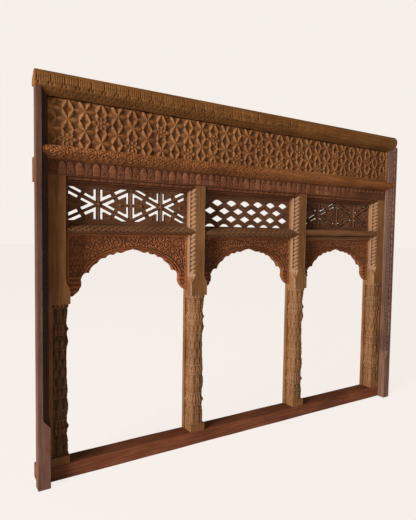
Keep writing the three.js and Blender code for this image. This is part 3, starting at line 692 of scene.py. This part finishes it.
class JHAROKHA_OT_star_panel(Operator):
    """Makes the panel of six-pointed stars and rosettes"""

    bl_idname = "jharokha.star_panel"
    bl_label = "Star panel"

    def execute(self, context):
        size = sizes()
        low, high = low_of("star_panel"), high_of("star_panel")
        front = high[1] - PANEL_THICK
        corners = [(front, low[2]), (front, LEDGE_TOP), (front, CROWN_LOW), (front, high[2]),
                   (high[1], high[2]), (high[1], low[2])]

        def relief(x, y, z, which, u, run):
            on_field = which == 1
            fascia = 3 * MM + 8 * MM * smooth((x + 0.5) / 1.0)
            border = smooth((z - LEDGE_TOP - fascia) / (2.5 * MM))
            border = border * smooth((POST_INSIDE - 12 * MM - x) / (2 * MM))
            sunk = (1 - star_relief(x, z)) * border * on_field
            top_edge = smooth((CROWN_LOW - z) / (2 * MM))
            sunk = sunk * top_edge
            # A groove under the crown, painted dark as the crown's shadow on the panel.
            crown_shadow_groove = on_field * smooth((z - CROWN_LOW + 6 * MM) / (1.5 * MM))
            # The hollows between the stars are painted dark as shade.
            return -size.star_depth * sunk - 6 * MM * crown_shadow_groove, np.maximum(0.6 * sunk**1.5, crown_shadow_groove)

        steps = [1, 72, 1, 1, 2, 1]
        stations = stations_between(low[0], high[0], size.carving_step * 0.92)
        piece = carved_length("star_panel_carved", "X", stations, corners, steps, relief)
        wood = aged_wood("Panel wood", colours().panel, "X", dark=0.18)
        settle(piece, "star_panel", wood)
        return {"FINISHED"}


# Crown beam
class JHAROKHA_OT_crown(Operator):
    """Makes the crown beam: a leafed cove, a reeded ovolo worn to the right, and a fillet"""

    bl_idname = "jharokha.crown"
    bl_label = "Crown beam"

    def execute(self, context):
        size = sizes()
        low, high = low_of("crown_beam"), high_of("crown_beam")
        front, top, back = low[1], high[2], high[1]
        panel_front = low_of("star_panel")[1] - GAP
        under = high_of("star_panel")[2] + GAP
        corners = [(back, top - CROWN_BEVEL), (back, under), (panel_front, under)]
        seat = (POST_FRONT, POST_TOP)
        cove = bezier([(panel_front, low[2]), (panel_front - CROWN_PROUD, low[2] + 1 * MM), seat], 12)
        lip = (front, POST_TOP + CROWN_LIP)
        shoulder = (front - 5 * MM, top - FILLET_HEIGHT - 17 * MM)
        ovolo_top = (front + FILLET_SET, top - FILLET_HEIGHT - 1 * MM)
        ovolo = bezier([seat, lip, shoulder, ovolo_top], 24)
        fillet_front = front + 2 * FILLET_SET
        fillet = [
            (fillet_front, top - FILLET_HEIGHT),
            (fillet_front, top),
            (fillet_front + CROWN_TOP_DEPTH, top),
        ]
        first_cove = len(corners)
        first_ovolo = first_cove + len(cove)
        corners += cove + ovolo + [ovolo_top] + fillet
        last = first_ovolo + len(ovolo)
        cove_start = math.dist(corners[0], corners[1]) + math.dist(corners[1], corners[2])
        cove_start += math.dist(corners[2], corners[3])

        def relief(x, y, z, which, u, run):
            on_cove = (which >= first_cove) & (which < first_ovolo)
            on_ovolo = (which >= first_ovolo) & (which < last)
            keep = 0.2 + 0.8 * worn(x, -0.05, 0.5)
            v = (z - POST_TOP) / (ovolo_top[1] - POST_TOP)
            aside = (fraction(x / size.dart_pitch) - 0.5) * size.dart_pitch
            fine = 0.5 + 0.5 * np.cos(2 * np.pi * aside / size.reed_pitch)
            fork = np.abs(aside) - 5 * MM * smooth((0.42 - v) / 0.3)
            groove = np.exp(-(((np.abs(fork) - 1.6 * MM) / (1.3 * MM)) ** 2))
            from_hole = ((np.abs(aside) - 7.5 * MM) / (1.8 * MM)) ** 2 + ((v - 0.2) / 0.09) ** 2
            drilled = np.exp(-from_hole)
            ends = smooth(v / 0.12) * smooth((0.93 - v) / 0.1)
            fine = 0.45 * fine * smooth((v - 0.15) / 0.2)
            sunk = np.clip(fine + 0.8 * groove + drilled, 0, 1.2) * ends * keep
            leaf = leaf_rows(x / (0.5 * size.dart_pitch), (run - cove_start) / (15 * MM) + 0.02)
            cove_cut = (1 - leaf) * on_cove * smooth((z - low[2]) / (2 * MM)) * (0.45 + 0.55 * keep)
            height = -size.reed_depth * sunk * on_ovolo - 2.4 * MM * cove_cut
            # Painted shade in the reeds, grooves, drill holes and the cove's cuts.
            return height, 0.42 * np.clip(sunk, 0, 1) * on_ovolo + 0.5 * cove_cut

        stations = stations_between(low[0], high[0], size.carving_step * 0.9)
        piece = carved_length("crown_carved", "X", stations, corners, [1] * len(corners), relief)
        coords = np.zeros(len(piece.data.vertices) * 3, np.float32)
        piece.data.vertices.foreach_get("co", coords)
        coords = coords.reshape(-1, 3)
        beside = coords[:, 2] < POST_TOP - 0.2 * MM
        reach = HALF_WIDTH - 4 * MM
        coords[beside, 0] = np.clip(coords[beside, 0], -reach, reach)
        aslant = np.clip((back - coords[:, 1]) / CROWN_END_DEPTH, 0, 1)
        coords[:, 0] = np.minimum(coords[:, 0], high[0] - CROWN_END_CUT * aslant)
        piece.data.vertices.foreach_set("co", coords.ravel())
        edit(piece, lambda: bpy.ops.mesh.remove_doubles(threshold=1e-6))
        wood = aged_wood("Cornice wood", colours().crown, "X", pale=1.6)
        settle(piece, "crown_beam", wood)
        return {"FINISHED"}


# Columns
PLINTH_SHARE = 0.9
STAGES = [
    # end of the stage, half-width there, swell between, leaves round it, rows of leaves
    (0.133, 0.90, -0.01, 8, 1.0),
    (0.188, 0.78, 0.00, 8, 1.0),
    (0.210, 0.80, 0.00, 0, 0.0),
    (0.241, 0.80, 0.13, 0, 0.0),
    (0.279, 0.78, -0.03, 0, 0.0),
    (0.420, 0.82, 0.12, 8, 1.0),
    (0.482, 0.84, 0.05, 12, 1.0),
    (0.720, 0.78, -0.02, 8, 4.0),
    (0.812, 0.79, 0.14, 10, 1.5),
    (0.825, 0.79, 0.00, 0, 0.0),
    (0.856, 0.79, 0.13, 0, 0.0),
    (0.870, 0.77, 0.00, 0, 0.0),
    (0.980, 0.92, 0.00, 8, 1.0),
    (1.000, 0.92, 0.00, 0, 0.0),
]


def baluster(name, x, foot, top, painted_light):
    """A baluster of rounded square section, its stages leafed, banded or plain, with painted shade in its
    cuts and bands and an overall painted tone: positive darkens it as shade, negative paints it pale as
    highlight and wear.
    """
    height = top - foot
    stations = stations_between(foot + PLINTH_HEIGHT, top, 2.2 * MM)
    share = (stations - foot) / height
    half = np.zeros_like(share)
    count = np.zeros_like(share)
    rows = np.zeros_like(share)
    local = np.zeros_like(share)
    begin, width = PLINTH_HEIGHT / height, PLINTH_SHARE
    for end, at_end, swell, leaves, leaf_count in STAGES:
        inside = (share >= begin) & (share <= end + 1e-9)
        t = (share - begin) / (end - begin)
        half = np.where(inside, width + (at_end - width) * t + swell * np.sin(np.pi * t), half)
        count = np.where(inside, leaves, count)
        rows = np.where(inside, leaf_count, rows)
        local = np.where(inside, t, local)
        begin, width = end, at_end
    around = np.linspace(0, 2 * np.pi, 72, endpoint=False)
    squareness = 3.4
    spread = np.abs(np.cos(around)) ** squareness + np.abs(np.sin(around)) ** squareness
    square = spread ** (-1 / squareness)
    turn = around[None, :] / (2 * np.pi)
    leaf = leaf_rows(turn * np.maximum(count, 1)[:, None] + 0.5, (local * rows)[:, None])
    leafed = (count > 0) * smooth(local / 0.04) * smooth((1 - local) / 0.04)
    cut = (1 - leaf) * leafed[:, None]
    ringed = (count == 0)[:, None] * (0.35 + 0.65 * np.sin(np.pi * local))[:, None]
    bands = ringed * (0.5 - 0.5 * np.cos(16 * around))[None, :] ** 2
    surface = half[:, None] * COLUMN_HALF * square[None, :] + 2.2 * MM
    radius = surface - 4.5 * MM * cut - 3.4 * MM * bands
    points = np.stack(
        [
            x + radius * np.cos(around)[None, :],
            -BALUSTER_AXIS + radius * np.sin(around)[None, :],
            stations[:, None] + 0 * radius,
        ],
        axis=2,
    )
    # Painted shade in the leaf cuts and ring bands and a little over the ringed stages, plus the overall
    # painted_light.
    painted_light_and_wear = painted_light + 1.25 * cut**1.5 + 0.15 * ringed + 1.1 * bands
    return skin(name, points, np.clip(painted_light_and_wear, -1, 1))


def plain_block(name, x0, x1, y0, y1, z0, z1):
    corners = [(x0, y1), (x0, y0), (x1, y0), (x1, y1)]
    return carved_length(name, "Z", stations_between(z0, z1, 12 * MM), corners, [2, 4, 2, 2], plain)


def column_piece(index, material):
    size = sizes()
    node = f"column_{index + 1}"
    low, high = low_of(node), high_of(node)
    x = COLUMN_X[index]
    foot = low[2]
    block = foot + BLOCK_RISE
    stop = foot + STOP_RISE
    stations = stations_between(block, high[2], size.carving_step)
    run = smooth((stations - (stop - size.chamfer_stop)) / size.chamfer_stop)
    one = np.ones_like(stations)
    left, right = low[0], high[0]
    cut_left = 0 if index == 0 else 1
    cut_right = 0 if index == BAYS else 1
    worn_edge = 0.5 * MM
    width_left, width_right = (worn_edge + cut * run * size.chamfer_width for cut in (cut_left, cut_right))
    depth_left, depth_right = (worn_edge + cut * run * size.chamfer_depth for cut in (cut_left, cut_right))
    front = COLUMN_FRONT
    plan = np.stack(
        [
            np.stack([left * one, 0 * one], 1),
            np.stack([left * one, front + depth_left], 1),
            np.stack([left + width_left, front * one], 1),
            np.stack([right - width_right, front * one], 1),
            np.stack([right * one, front + depth_right], 1),
            np.stack([right * one, 0 * one], 1),
        ],
        axis=1,
    )

    def relief(z, a, b, which, u, run):
        on_chamfer = ((which == 1) & (cut_left == 1)) | ((which == 3) & (cut_right == 1))
        out = np.where(which == 1, u, 1 - u)
        shown = smooth((z - stop) / 0.012)
        channel = smooth((out - 0.16) / 0.06) * smooth((0.97 - out) / 0.05)
        lobes = leaning_lobes(z / size.braid_pitch, np.clip((out - 0.18) / 0.78, 0, 1))
        carve = on_chamfer * shown * channel
        at_stop = smooth((stop - z) / 0.01) * smooth((z - stop + size.chamfer_stop) / 0.01)
        ribs = 0.5 + 0.5 * np.cos(8 * np.pi * u)
        sunk = (1 - lobes) * carve + 0.5 * (1 - ribs) * at_stop * on_chamfer
        # The inner columns' chamfers are painted pale, as wear and painted highlight; the braid's hollows
        # are painted dark as shade, and the front faces take a little painted shade.
        pale = 0.7 * ((which == 1) | (which == 3)) * (cut_left if index else 0)
        on_front = which == 2
        uneven = 0.2 * MM * np.sin(21 * z + 60 * a) * on_front
        return uneven - 4 * MM * sunk, 1.6 * sunk - pale + 0.13 * on_front

    shaft = carved_length(f"{node}_post", "Z", stations, plan, [3, 18, 8, 18, 3, 3], relief)
    plank = plain_block(f"{node}_plank", left, right, -PLANK_DEPTH, 0, foot, block)
    half = PLINTH_SHARE * COLUMN_HALF
    sides = (x - half, x + half, front + 0.2 * MM, -PLANK_DEPTH - 4 * MM)
    plinth = plain_block(f"{node}_plinth", *sides, foot, foot + PLINTH_HEIGHT)
    # The first baluster is painted darker as shade from the left post; the others are painted pale as
    # highlight and wear.
    turned = baluster(f"{node}_baluster", x, foot, block, -0.6 if index else 0.1)
    parts = [shaft, plank, plinth, turned]
    if index in (0, BAYS):
        sides = (left, x - JAMB_ASIDE) if index == 0 else (x + JAMB_ASIDE, right)
        jamb_front, jamb_back = front + JAMB_SET, -PLANK_DEPTH / 2
        parts.append(plain_block(f"{node}_jamb", *sides, jamb_front, jamb_back, foot, block))
    piece = joined(f"{node}_carved", *parts)
    return settle(piece, node, material)


class JHAROKHA_OT_columns(Operator):
    """Makes the columns: braided chamfers above, leafed balusters below"""

    bl_idname = "jharokha.columns"
    bl_label = "Columns"

    def execute(self, context):
        wood = aged_wood("Column wood", colours().column, "Z", pale=1.45)
        # The first column gets the darker copy, as painted shade.
        dark_wood = aged_wood("First column shaded wood", colours().jamb, "Z", pale=1.45)
        for index in range(BAYS + 1):
            column_piece(index, wood if index else dark_wood)
        return {"FINISHED"}


# Transoms
def transom_piece(index, material):
    node = f"transom_{index + 1}"
    low, high = low_of(node), high_of(node)
    front, top, foot = -TRANSOM_PROUD, high[2], low[2] - 0.25 * MM
    tall = top - foot
    square = index == BAYS - 1
    corners = [(0, foot), (0, top)]
    first = len(corners)
    if square:
        face_foot = top - TRANSOM_FACE
        edge_foot = (front, top - TRANSOM_EDGE)
        bead_front, bead_top = front + BEAD_BACK, face_foot - BEAD_DROP
        bead_foot = bead_top - BEAD_HEIGHT
        corners += bezier([(front + TRANSOM_EDGE, top), (front, top), edge_foot], 6)
        corners += [edge_foot, (front, face_foot), (bead_front, face_foot)]
        bead_middle = (bead_front - BEAD_SWELL, (bead_top + bead_foot) / 2)
        corners += bezier([(bead_front, bead_top), bead_middle, (bead_front, bead_foot)], 8)
        corners += [(bead_front, bead_foot), (bead_front, foot)]
    else:
        nose = (front, top - tall * 0.54)
        corners += bezier([(front * 0.36, top), (front * 0.86, top - tall * 0.12), nose], 12)
        corners += bezier([nose, (front * 0.96, foot + tall * 0.18), (front * 0.48, foot)], 12)
        corners += [(front * 0.48, foot)]

    def relief(x, y, z, which, u, run):
        if square:
            return plain(x, y, z, which, u, run)[0], 0.2
        carve = (which >= first) * smooth((top - z) / (5 * MM)) * smooth((z - foot) / (4 * MM))
        down = run - math.dist(corners[0], corners[1]) - math.dist(corners[1], corners[2])
        scale = dashes((x - BAY_X[index]) / (27 * MM), down / (12 * MM))
        sunk = (1 - scale) * carve
        # The hollows between the scales are painted dark as shade.
        return -4 * MM * sunk, 0.85 * sunk

    reach = (COLUMN_X[index + 1] - COLUMN_X[index]) / 2 - COLUMN_HALF + TRANSOM_END
    stations = stations_between(BAY_X[index] - reach, BAY_X[index] + reach, sizes().carving_step)
    steps = [2] * first + [2] * (len(corners) - first - 1) + [2]
    piece = carved_length(f"{node}_carved", "X", stations, corners, steps, relief)
    return settle(piece, node, material)


class JHAROKHA_OT_transoms(Operator):
    """Makes the transoms, scaled with leaves in the first bays and plainer in the last"""

    bl_idname = "jharokha.transoms"
    bl_label = "Transoms"

    def execute(self, context):
        wood = aged_wood("Transom wood", colours().transom, "X")
        for index in range(BAYS):
            transom_piece(index, wood)
        return {"FINISHED"}


# Arches
ARCH_HALF, ARCH_RISE, ARCH_POWER, ARCH_SPRING, ARCH_PEAK = 176 * MM, 106 * MM, 2.1, 163 * MM, 9 * MM
ARCH_SHIFTS = (9 * MM, 5 * MM, 5 * MM)
ARCH_DROPS = (0, 0, 4 * MM)
CUSP_FIRST, CUSP_LAST, SCALLOPS = 47 * MM, 168 * MM, 4


def arch_curve(x):
    share = np.minimum(np.abs(x) / ARCH_HALF, 1)
    return TRANSOM_LOW - ARCH_SPRING + ARCH_RISE * (1 - share**ARCH_POWER) ** (1 / ARCH_POWER)


def scallop(start, end, depth, steps):
    way = np.array(end) - np.array(start)
    out = np.array([-way[1], way[0]]) / np.linalg.norm(way)
    return [
        tuple(np.array(start) + way * t + out * depth * math.sin(math.pi * t))
        for t in np.linspace(0, 1, steps + 1)[1:]
    ]


def arch_edge():
    """Half of the opening's edge, from its apex to the column on the right."""
    cusps = []
    for index in range(SCALLOPS + 1):
        x = CUSP_FIRST + (CUSP_LAST - CUSP_FIRST) * index / SCALLOPS
        cusps.append((x, float(arch_curve(x))))
    points = [(0.0, TRANSOM_LOW - ARCH_SPRING + ARCH_RISE + ARCH_PEAK)]
    points += scallop(points[-1], cusps[0], 3 * MM, 22)
    for cusp, following in zip(cusps[:-1], cusps[1:]):
        points += scallop(cusp, following, 6 * MM, 14)
    foot = BAY_HALF + 0.3 * MM - 42 * MM
    upper = (foot, TRANSOM_LOW - 142 * MM)
    lower = (foot, TRANSOM_LOW - 168 * MM)
    toe = (foot + 33.6 * MM, TRANSOM_LOW - 209 * MM)
    points += scallop(cusps[-1], upper, 6 * MM, 14)
    points += scallop(upper, lower, 2 * MM, 12)
    points += scallop(lower, toe, -6 * MM, 20)
    return points


def arch_piece(index, material):
    size = sizes()
    node = f"arch_{index + 1}"
    high = high_of(node)
    back = high[1]
    front = back - ARCH_THICK
    half = arch_edge()
    edge = np.array([(-x, z) for x, z in half[::-1]] + half[1:])
    edge[:, 1] += 5 * MM * np.exp(-np.abs(edge[:, 0]) / (5 * MM))
    shift, drop = ARCH_SHIFTS[index], ARCH_DROPS[index]
    edge[:, 0] = np.clip(edge[:, 0] + shift, -BAY_HALF + 1 * MM, BAY_HALF - 1 * MM)
    edge[:, 1] -= drop
    centre = np.array([shift, TRANSOM_LOW - 226 * MM])
    way = edge - centre
    way /= np.linalg.norm(way, axis=1, keepdims=True)
    sideways = np.maximum(np.abs(way[:, 0]), 1e-6)
    to_side = (BAY_HALF - centre[0] * np.sign(way[:, 0])) / sideways
    to_top = (high[2] - centre[1]) / np.maximum(way[:, 1], 1e-6)
    reach = np.minimum(to_side, to_top)
    outer = centre + way * reach[:, None]
    near = np.linalg.norm(edge - centre, axis=1)
    steps = 46
    share = np.linspace(0, 1, steps) ** 1.15
    field = edge[:, None] * (1 - share)[None, :, None] + outer[:, None] * share[None, :, None]
    away = (reach - near)[:, None] * share[None, :]
    x, z = field[..., 0], field[..., 1]
    above = np.hypot((x - shift) / ARCH_HALF, (z + drop - TRANSOM_LOW + ARCH_SPRING) / ARCH_RISE)
    lift = (above - 1) * 0.5 * (ARCH_HALF + ARCH_RISE)
    rib = np.maximum(
        np.exp(-(((lift - 12 * MM) / (3.2 * MM)) ** 2)),
        np.exp(-(((lift - 22 * MM) / (2.8 * MM)) ** 2)),
    )
    bent_x = x - shift + 13 * MM * np.sin(27 * z + 2 * index) + 5 * MM * np.sin(63 * z + 31 * x)
    bent_z = z - TRANSOM_LOW + 11 * MM * np.sin(23 * x + index) + 5 * MM * np.sin(57 * x - 29 * z)
    leaves = scroll(bent_x, bent_z, 40 * MM, 13 * MM) * smooth((lift - 28 * MM) / (3 * MM))
    lip = np.exp(-((away / (2.2 * MM)) ** 2))
    border = smooth((BAY_HALF - 6 * MM - np.abs(x)) / (2 * MM))
    border = border * smooth((high[2] - 5 * MM - z) / (2 * MM))
    raised = np.clip(np.maximum(np.maximum(rib, leaves * border), lip), 0, 1)
    bands = 0.55 + 0.45 * np.cos(2 * np.pi * (z - TRANSOM_LOW) / (16 * MM))
    at_foot = smooth((TRANSOM_LOW - 138 * MM - z) / (4 * MM))
    raised = raised * (1 - at_foot) + bands * at_foot
    raised = np.maximum(raised, 0.8 * (1 - border))
    height = size.foliage_depth * raised
    # Painted shade in the hollows between ribs, leaves and bands.
    painted_light_and_wear = 0.8 * (1 - raised)
    through = 5
    rows = []
    shades = []
    # Painted shade: a little on the back rows, more on the opening's edge faces.
    for places in (outer, edge):
        rows.append(np.stack([places[:, 0], np.full(len(places), back), places[:, 1]], 1))
        shades.append(np.full(len(places), 0.1))
    for step in range(1, through):
        y_place = back + (front - back) * step / through
        rows.append(np.stack([edge[:, 0], np.full(len(edge), y_place), edge[:, 1]], 1))
        shades.append(np.full(len(edge), 0.28))
    section = np.stack(rows, axis=1)
    face = np.stack([x, front - height + 2.5 * MM, z], axis=2)
    points = np.concatenate([section, face], axis=1)
    points[..., 0] += BAY_X[index]
    shade = np.concatenate([np.stack(shades, axis=1), painted_light_and_wear], axis=1)
    piece = skin(f"{node}_carved", points, shade)
    return settle(piece, node, material)


class JHAROKHA_OT_arches(Operator):
    """Makes the cusped arch boards with their ribs and foliage"""

    bl_idname = "jharokha.arches"
    bl_label = "Arches"

    def execute(self, context):
        wood = aged_wood("Arch wood", colours().arch, "X", pale=1.7)
        # The first arch board gets the paler copy, as painted light.
        lit_arch_wood = aged_wood("First arch lit wood", colours().lit_first_arch, "X", pale=1.7)
        for index in range(BAYS):
            arch_piece(index, wood if index else lit_arch_wood)
        return {"FINISHED"}


# Lattices
def ridge(name, start, end, width, rise, front):
    """A scalloped ridge on a lattice's face, from one place in X and Z to another."""
    start, end = np.array(start, float), np.array(end, float)
    way = end - start
    span = np.linalg.norm(way)
    across = np.array([-way[1], way[0]]) / span
    count = max(4, int(span / (4 * MM)))
    rows = []
    for t in np.linspace(0, 1, count + 1):
        middle = start + way * t
        half = width / 2 * (0.74 + 0.26 * abs(math.sin(math.pi * t * count / 2)))
        foot = front + 1.5 * MM
        ring = [
            (*(middle - across * half), foot), (*(middle - across * half), front - rise * 0.3),
            (*middle, front - rise), (*(middle + across * half), front - rise * 0.3),
            (*(middle + across * half), foot),
        ]
        rows.append([(x, y, z) for x, z, y in ring])
    points = np.array(rows)
    return skin(name, points, np.zeros(points.shape[:2]))


def bead(name, x, z, front, radius):
    bpy.ops.object.select_all(action="DESELECT")
    bpy.ops.mesh.primitive_uv_sphere_add(segments=12, ring_count=6, radius=radius, location=(x, front, z))
    piece = bpy.context.object
    piece.name = name
    bpy.ops.transform.resize(value=(1, 0.7, 1))
    bpy.ops.object.transform_apply(location=True, rotation=True, scale=True)
    piece.data.attributes.new("painted_light_and_wear", "FLOAT", "POINT")
    bpy.ops.object.shade_smooth()
    return piece


def pierced_board(node):
    """A copy of the lattice's own solid, its doubled points merged."""
    bpy.ops.object.select_all(action="DESELECT")
    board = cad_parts[node].copy()
    board.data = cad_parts[node].data.copy()
    board.parent = None
    for key in list(board.keys()):
        del board[key]
    bpy.context.scene.collection.objects.link(board)
    board.hide_render = False
    board.hide_viewport = False
    board.data.attributes.new("painted_light_and_wear", "FLOAT", "POINT")
    edit(
        board,
        lambda: bpy.ops.mesh.remove_doubles(threshold=1e-5),
        lambda: bpy.ops.mesh.normals_make_consistent(inside=False),
    )
    bpy.ops.object.shade_flat()
    return board


STAR_SHARE, STAR_RIM_LOW, STAR_RIM_HIGH = 0.26, 14 * MM, 6 * MM
EYE_PITCH, EYE_ROW_PITCH, EYE_TOP_ROW, EYE_SHIFT = 70.7 * MM, 33 * MM, 34 * MM, 22 * MM


def star_lattice_piece(index, material):
    node = f"lattice_{index + 1}"
    low, high = low_of(node), high_of(node)
    x0, z0, z1 = BAY_X[index], low[2], high[2]
    front = low[1]
    step = 2 * (BAY_HALF + GAP) * STAR_SHARE
    half = (z1 - z0 - STAR_RIM_LOW - STAR_RIM_HIGH) / 2
    middle = z0 + STAR_RIM_LOW + half
    bar = (8 * MM, 3 * MM)
    pieces = [pierced_board(node)]
    names = iter(range(1000))
    for side in (-1, 1):
        star = np.array([x0 + side * step, middle])
        for far in (x0, x0 + 2 * side * step):
            for up in (-1, 1):
                end = np.array([far, middle + up * half])
                if abs(far - x0) > BAY_HALF:
                    room = BAY_HALF - 4 * MM - abs(star[0] - x0)
                    end = star + (end - star) * room / abs(end[0] - star[0])
                pieces.append(ridge(f"bar_{next(names)}", star, end, *bar, front))
        low_end, high_end = star + (0, -half), star + (0, half)
        pieces.append(ridge(f"bar_{next(names)}", low_end, high_end, *bar, front))
        for far in (-1, 1):
            centre = star[0] + far * step * 2 / 3
            pieces.append(bead(f"bead_{next(names)}", centre, middle, front, 7 * MM))
            for up in (-1, 1):
                place = (star[0] + far * step / 3, middle + up * half * 0.82)
                pieces.append(bead(f"bead_{next(names)}", *place, front, 5 * MM))
        pieces.append(bead(f"bead_{next(names)}", star[0], middle, front - 1 * MM, 9 * MM))
    low_end, high_end = (x0, middle - half), (x0, middle + half)
    pieces.append(ridge(f"bar_{next(names)}", low_end, high_end, *bar, front))
    piece = joined(f"{node}_carved", *pieces)
    return settle(piece, node, material)


def eye_lattice_piece(index, material):
    node = f"lattice_{index + 1}"
    low, high = low_of(node), high_of(node)
    front, x0, top = low[1], BAY_X[index], high[2]
    room = BAY_HALF - 3 * MM
    pieces = [pierced_board(node)]
    count = 0
    for row in range(-1, 4):
        shift = 0 if row % 2 == 0 else 0.5
        z = top - EYE_TOP_ROW - row * EYE_ROW_PITCH
        for place in range(-4, 5):
            x = x0 + EYE_SHIFT + (place + shift) * EYE_PITCH
            for way in (-0.5, 0.5):
                start = np.array([x, z])
                end = np.array([x + way * EYE_PITCH, z - EYE_ROW_PITCH])
                within = abs(start[0] - x0) < room and abs(end[0] - x0) < room
                if within and z < top - 3 * MM and end[1] > low[2] + 3 * MM:
                    pieces.append(ridge(f"web_{count}", start, end, 8 * MM, 2.5 * MM, front))
                    count += 1
    piece = joined(f"{node}_carved", *pieces)
    return settle(piece, node, material)


class JHAROKHA_OT_lattices(Operator):
    """Makes the pierced boards, with ridged bars and beads on their faces"""

    bl_idname = "jharokha.lattices"
    bl_label = "Lattices"

    def execute(self, context):
        wood = aged_wood("Lattice wood", colours().lattice, "X")
        star_lattice_piece(0, wood)
        eye_lattice_piece(1, wood)
        star_lattice_piece(2, wood)
        return {"FINISHED"}


# Stage
CAMERA_PLACE = (-1.1978, -1.6151, -0.2026)
CAMERA_YAW, CAMERA_PITCH, CAMERA_ROLL = 0.560, -0.057, 0.015
CAMERA_LENS = 31.85


def soft_light(name, place, aim, size, power, tint):
    bpy.ops.object.light_add(type="AREA", location=place)
    light = bpy.context.object
    light.name = name
    light.data.shape = "SQUARE"
    light.data.size = size
    light.data.energy = power
    light.data.color = tint
    light.rotation_euler = (Vector(aim) - Vector(place)).to_track_quat("-Z", "Y").to_euler()
    return light


def studio_world(scene, backdrop):
    """A pale backdrop that gives the window less light than it shows."""
    world = bpy.data.worlds.new("Pale studio")
    world.use_nodes = True
    tree = world.node_tree
    seen = tree.nodes["Background"]
    seen.inputs["Color"].default_value = (*backdrop, 1)
    fill = tree.nodes.new("ShaderNodeBackground")
    fill.inputs["Color"].default_value = (1, 0.82, 0.6, 1)
    fill.inputs["Strength"].default_value = 0.17
    path = tree.nodes.new("ShaderNodeLightPath")
    both = tree.nodes.new("ShaderNodeMixShader")
    tree.links.new(path.outputs["Is Camera Ray"], both.inputs[0])
    tree.links.new(fill.outputs[0], both.inputs[1])
    tree.links.new(seen.outputs[0], both.inputs[2])
    tree.links.new(both.outputs[0], tree.nodes["World Output"].inputs["Surface"])
    scene.world = world


def floor_paint(tints):
    """A pale floor that runs into the backdrop and keeps a faint shadow."""
    paint = bpy.data.materials.new("Pale floor")
    paint.use_nodes = True
    tree = paint.node_tree
    shader = tree.nodes["Principled BSDF"]
    shader.inputs["Base Color"].default_value = (*tints.floor, 1)
    shader.inputs["Roughness"].default_value = 1
    shader.inputs["Specular IOR Level"].default_value = 0
    glow = tree.nodes.new("ShaderNodeEmission")
    glow.inputs["Color"].default_value = (*tints.backdrop, 1)
    glow.inputs["Strength"].default_value = 1.055
    path = tree.nodes.new("ShaderNodeLightPath")
    share = tree.nodes.new("ShaderNodeMath")
    share.operation = "MULTIPLY"
    share.inputs[1].default_value = 0.9
    both = tree.nodes.new("ShaderNodeMixShader")
    tree.links.new(path.outputs["Is Camera Ray"], share.inputs[0])
    tree.links.new(share.outputs[0], both.inputs[0])
    tree.links.new(shader.outputs[0], both.inputs[1])
    tree.links.new(glow.outputs[0], both.inputs[2])
    tree.links.new(both.outputs[0], tree.nodes["Material Output"].inputs["Surface"])
    return paint


class JHAROKHA_OT_stage(Operator):
    """Sets the pale floor, the soft light and the camera"""

    bl_idname = "jharokha.stage"
    bl_label = "Stage"

    def execute(self, context):
        tints = colours()
        bpy.ops.object.select_all(action="DESELECT")
        bpy.ops.mesh.primitive_plane_add(size=60, location=(0, 0, BOTTOM - 1 * MM))
        floor = context.object
        floor.name = "floor"
        floor.data.materials.append(floor_paint(tints))

        studio_world(context.scene, tints.backdrop)
        soft_light("Key", (-9.3, -3.4, 1.5), (0, 0, -0.3), 3.4, 1650, (1, 0.97, 0.97))
        soft_light("Front", (0.5, -4.5, 1.0), (0, 0, -0.2), 3.0, 10, (1, 0.86, 0.66))

        forward = Vector(
            (
                math.sin(CAMERA_YAW) * math.cos(CAMERA_PITCH),
                math.cos(CAMERA_YAW) * math.cos(CAMERA_PITCH),
                math.sin(CAMERA_PITCH),
            )
        )
        right = Vector((math.cos(CAMERA_YAW), -math.sin(CAMERA_YAW), 0))
        up = right.cross(forward)
        turned_right = math.cos(CAMERA_ROLL) * right + math.sin(CAMERA_ROLL) * up
        turned_up = -math.sin(CAMERA_ROLL) * right + math.cos(CAMERA_ROLL) * up
        bpy.ops.object.camera_add(location=CAMERA_PLACE)
        camera = context.object
        camera.name = "Photograph's view"
        turn = Matrix((turned_right, turned_up, -forward)).transposed()
        camera.rotation_mode = "QUATERNION"
        camera.rotation_quaternion = turn.to_quaternion()
        camera.data.lens = CAMERA_LENS
        camera.data.sensor_width = 36
        context.scene.camera = camera
        context.scene.view_settings.view_transform = "Standard"
        return {"FINISHED"}


# Panel and registration
STEPS = (
    JHAROKHA_OT_stage,
    JHAROKHA_OT_sill,
    JHAROKHA_OT_outer_posts,
    JHAROKHA_OT_columns,
    JHAROKHA_OT_arches,
    JHAROKHA_OT_transoms,
    JHAROKHA_OT_lattices,
    JHAROKHA_OT_head_beam,
    JHAROKHA_OT_ledge,
    JHAROKHA_OT_star_panel,
    JHAROKHA_OT_crown,
)


class JHAROKHA_PT_panel(Panel):
    """Lists the window's sizes, colours and pieces"""

    bl_idname = "JHAROKHA_PT_panel"
    bl_label = "Jharokha window"
    bl_space_type = "VIEW_3D"
    bl_region_type = "UI"
    bl_category = "Jharokha"

    def draw(self, context):
        for group in (context.scene.jharokha_sizes, context.scene.jharokha_colours):
            box = self.layout.box()
            for name in group.__annotations__:
                box.prop(group, name)
        for step in STEPS:
            self.layout.operator(step.bl_idname)


CLASSES = (JharokhaSizes, JharokhaColours, *STEPS, JHAROKHA_PT_panel)


def register():
    for item in CLASSES:
        bpy.utils.register_class(item)
    bpy.types.Scene.jharokha_sizes = PointerProperty(type=JharokhaSizes)
    bpy.types.Scene.jharokha_colours = PointerProperty(type=JharokhaColours)


def unregister():
    del bpy.types.Scene.jharokha_colours
    del bpy.types.Scene.jharokha_sizes
    for item in reversed(CLASSES):
        bpy.utils.unregister_class(item)


def main():
    register()
    for step in STEPS:
        group, name = step.bl_idname.split(".")
        getattr(getattr(bpy.ops, group), name)()


if __name__ == "__main__":
    main()
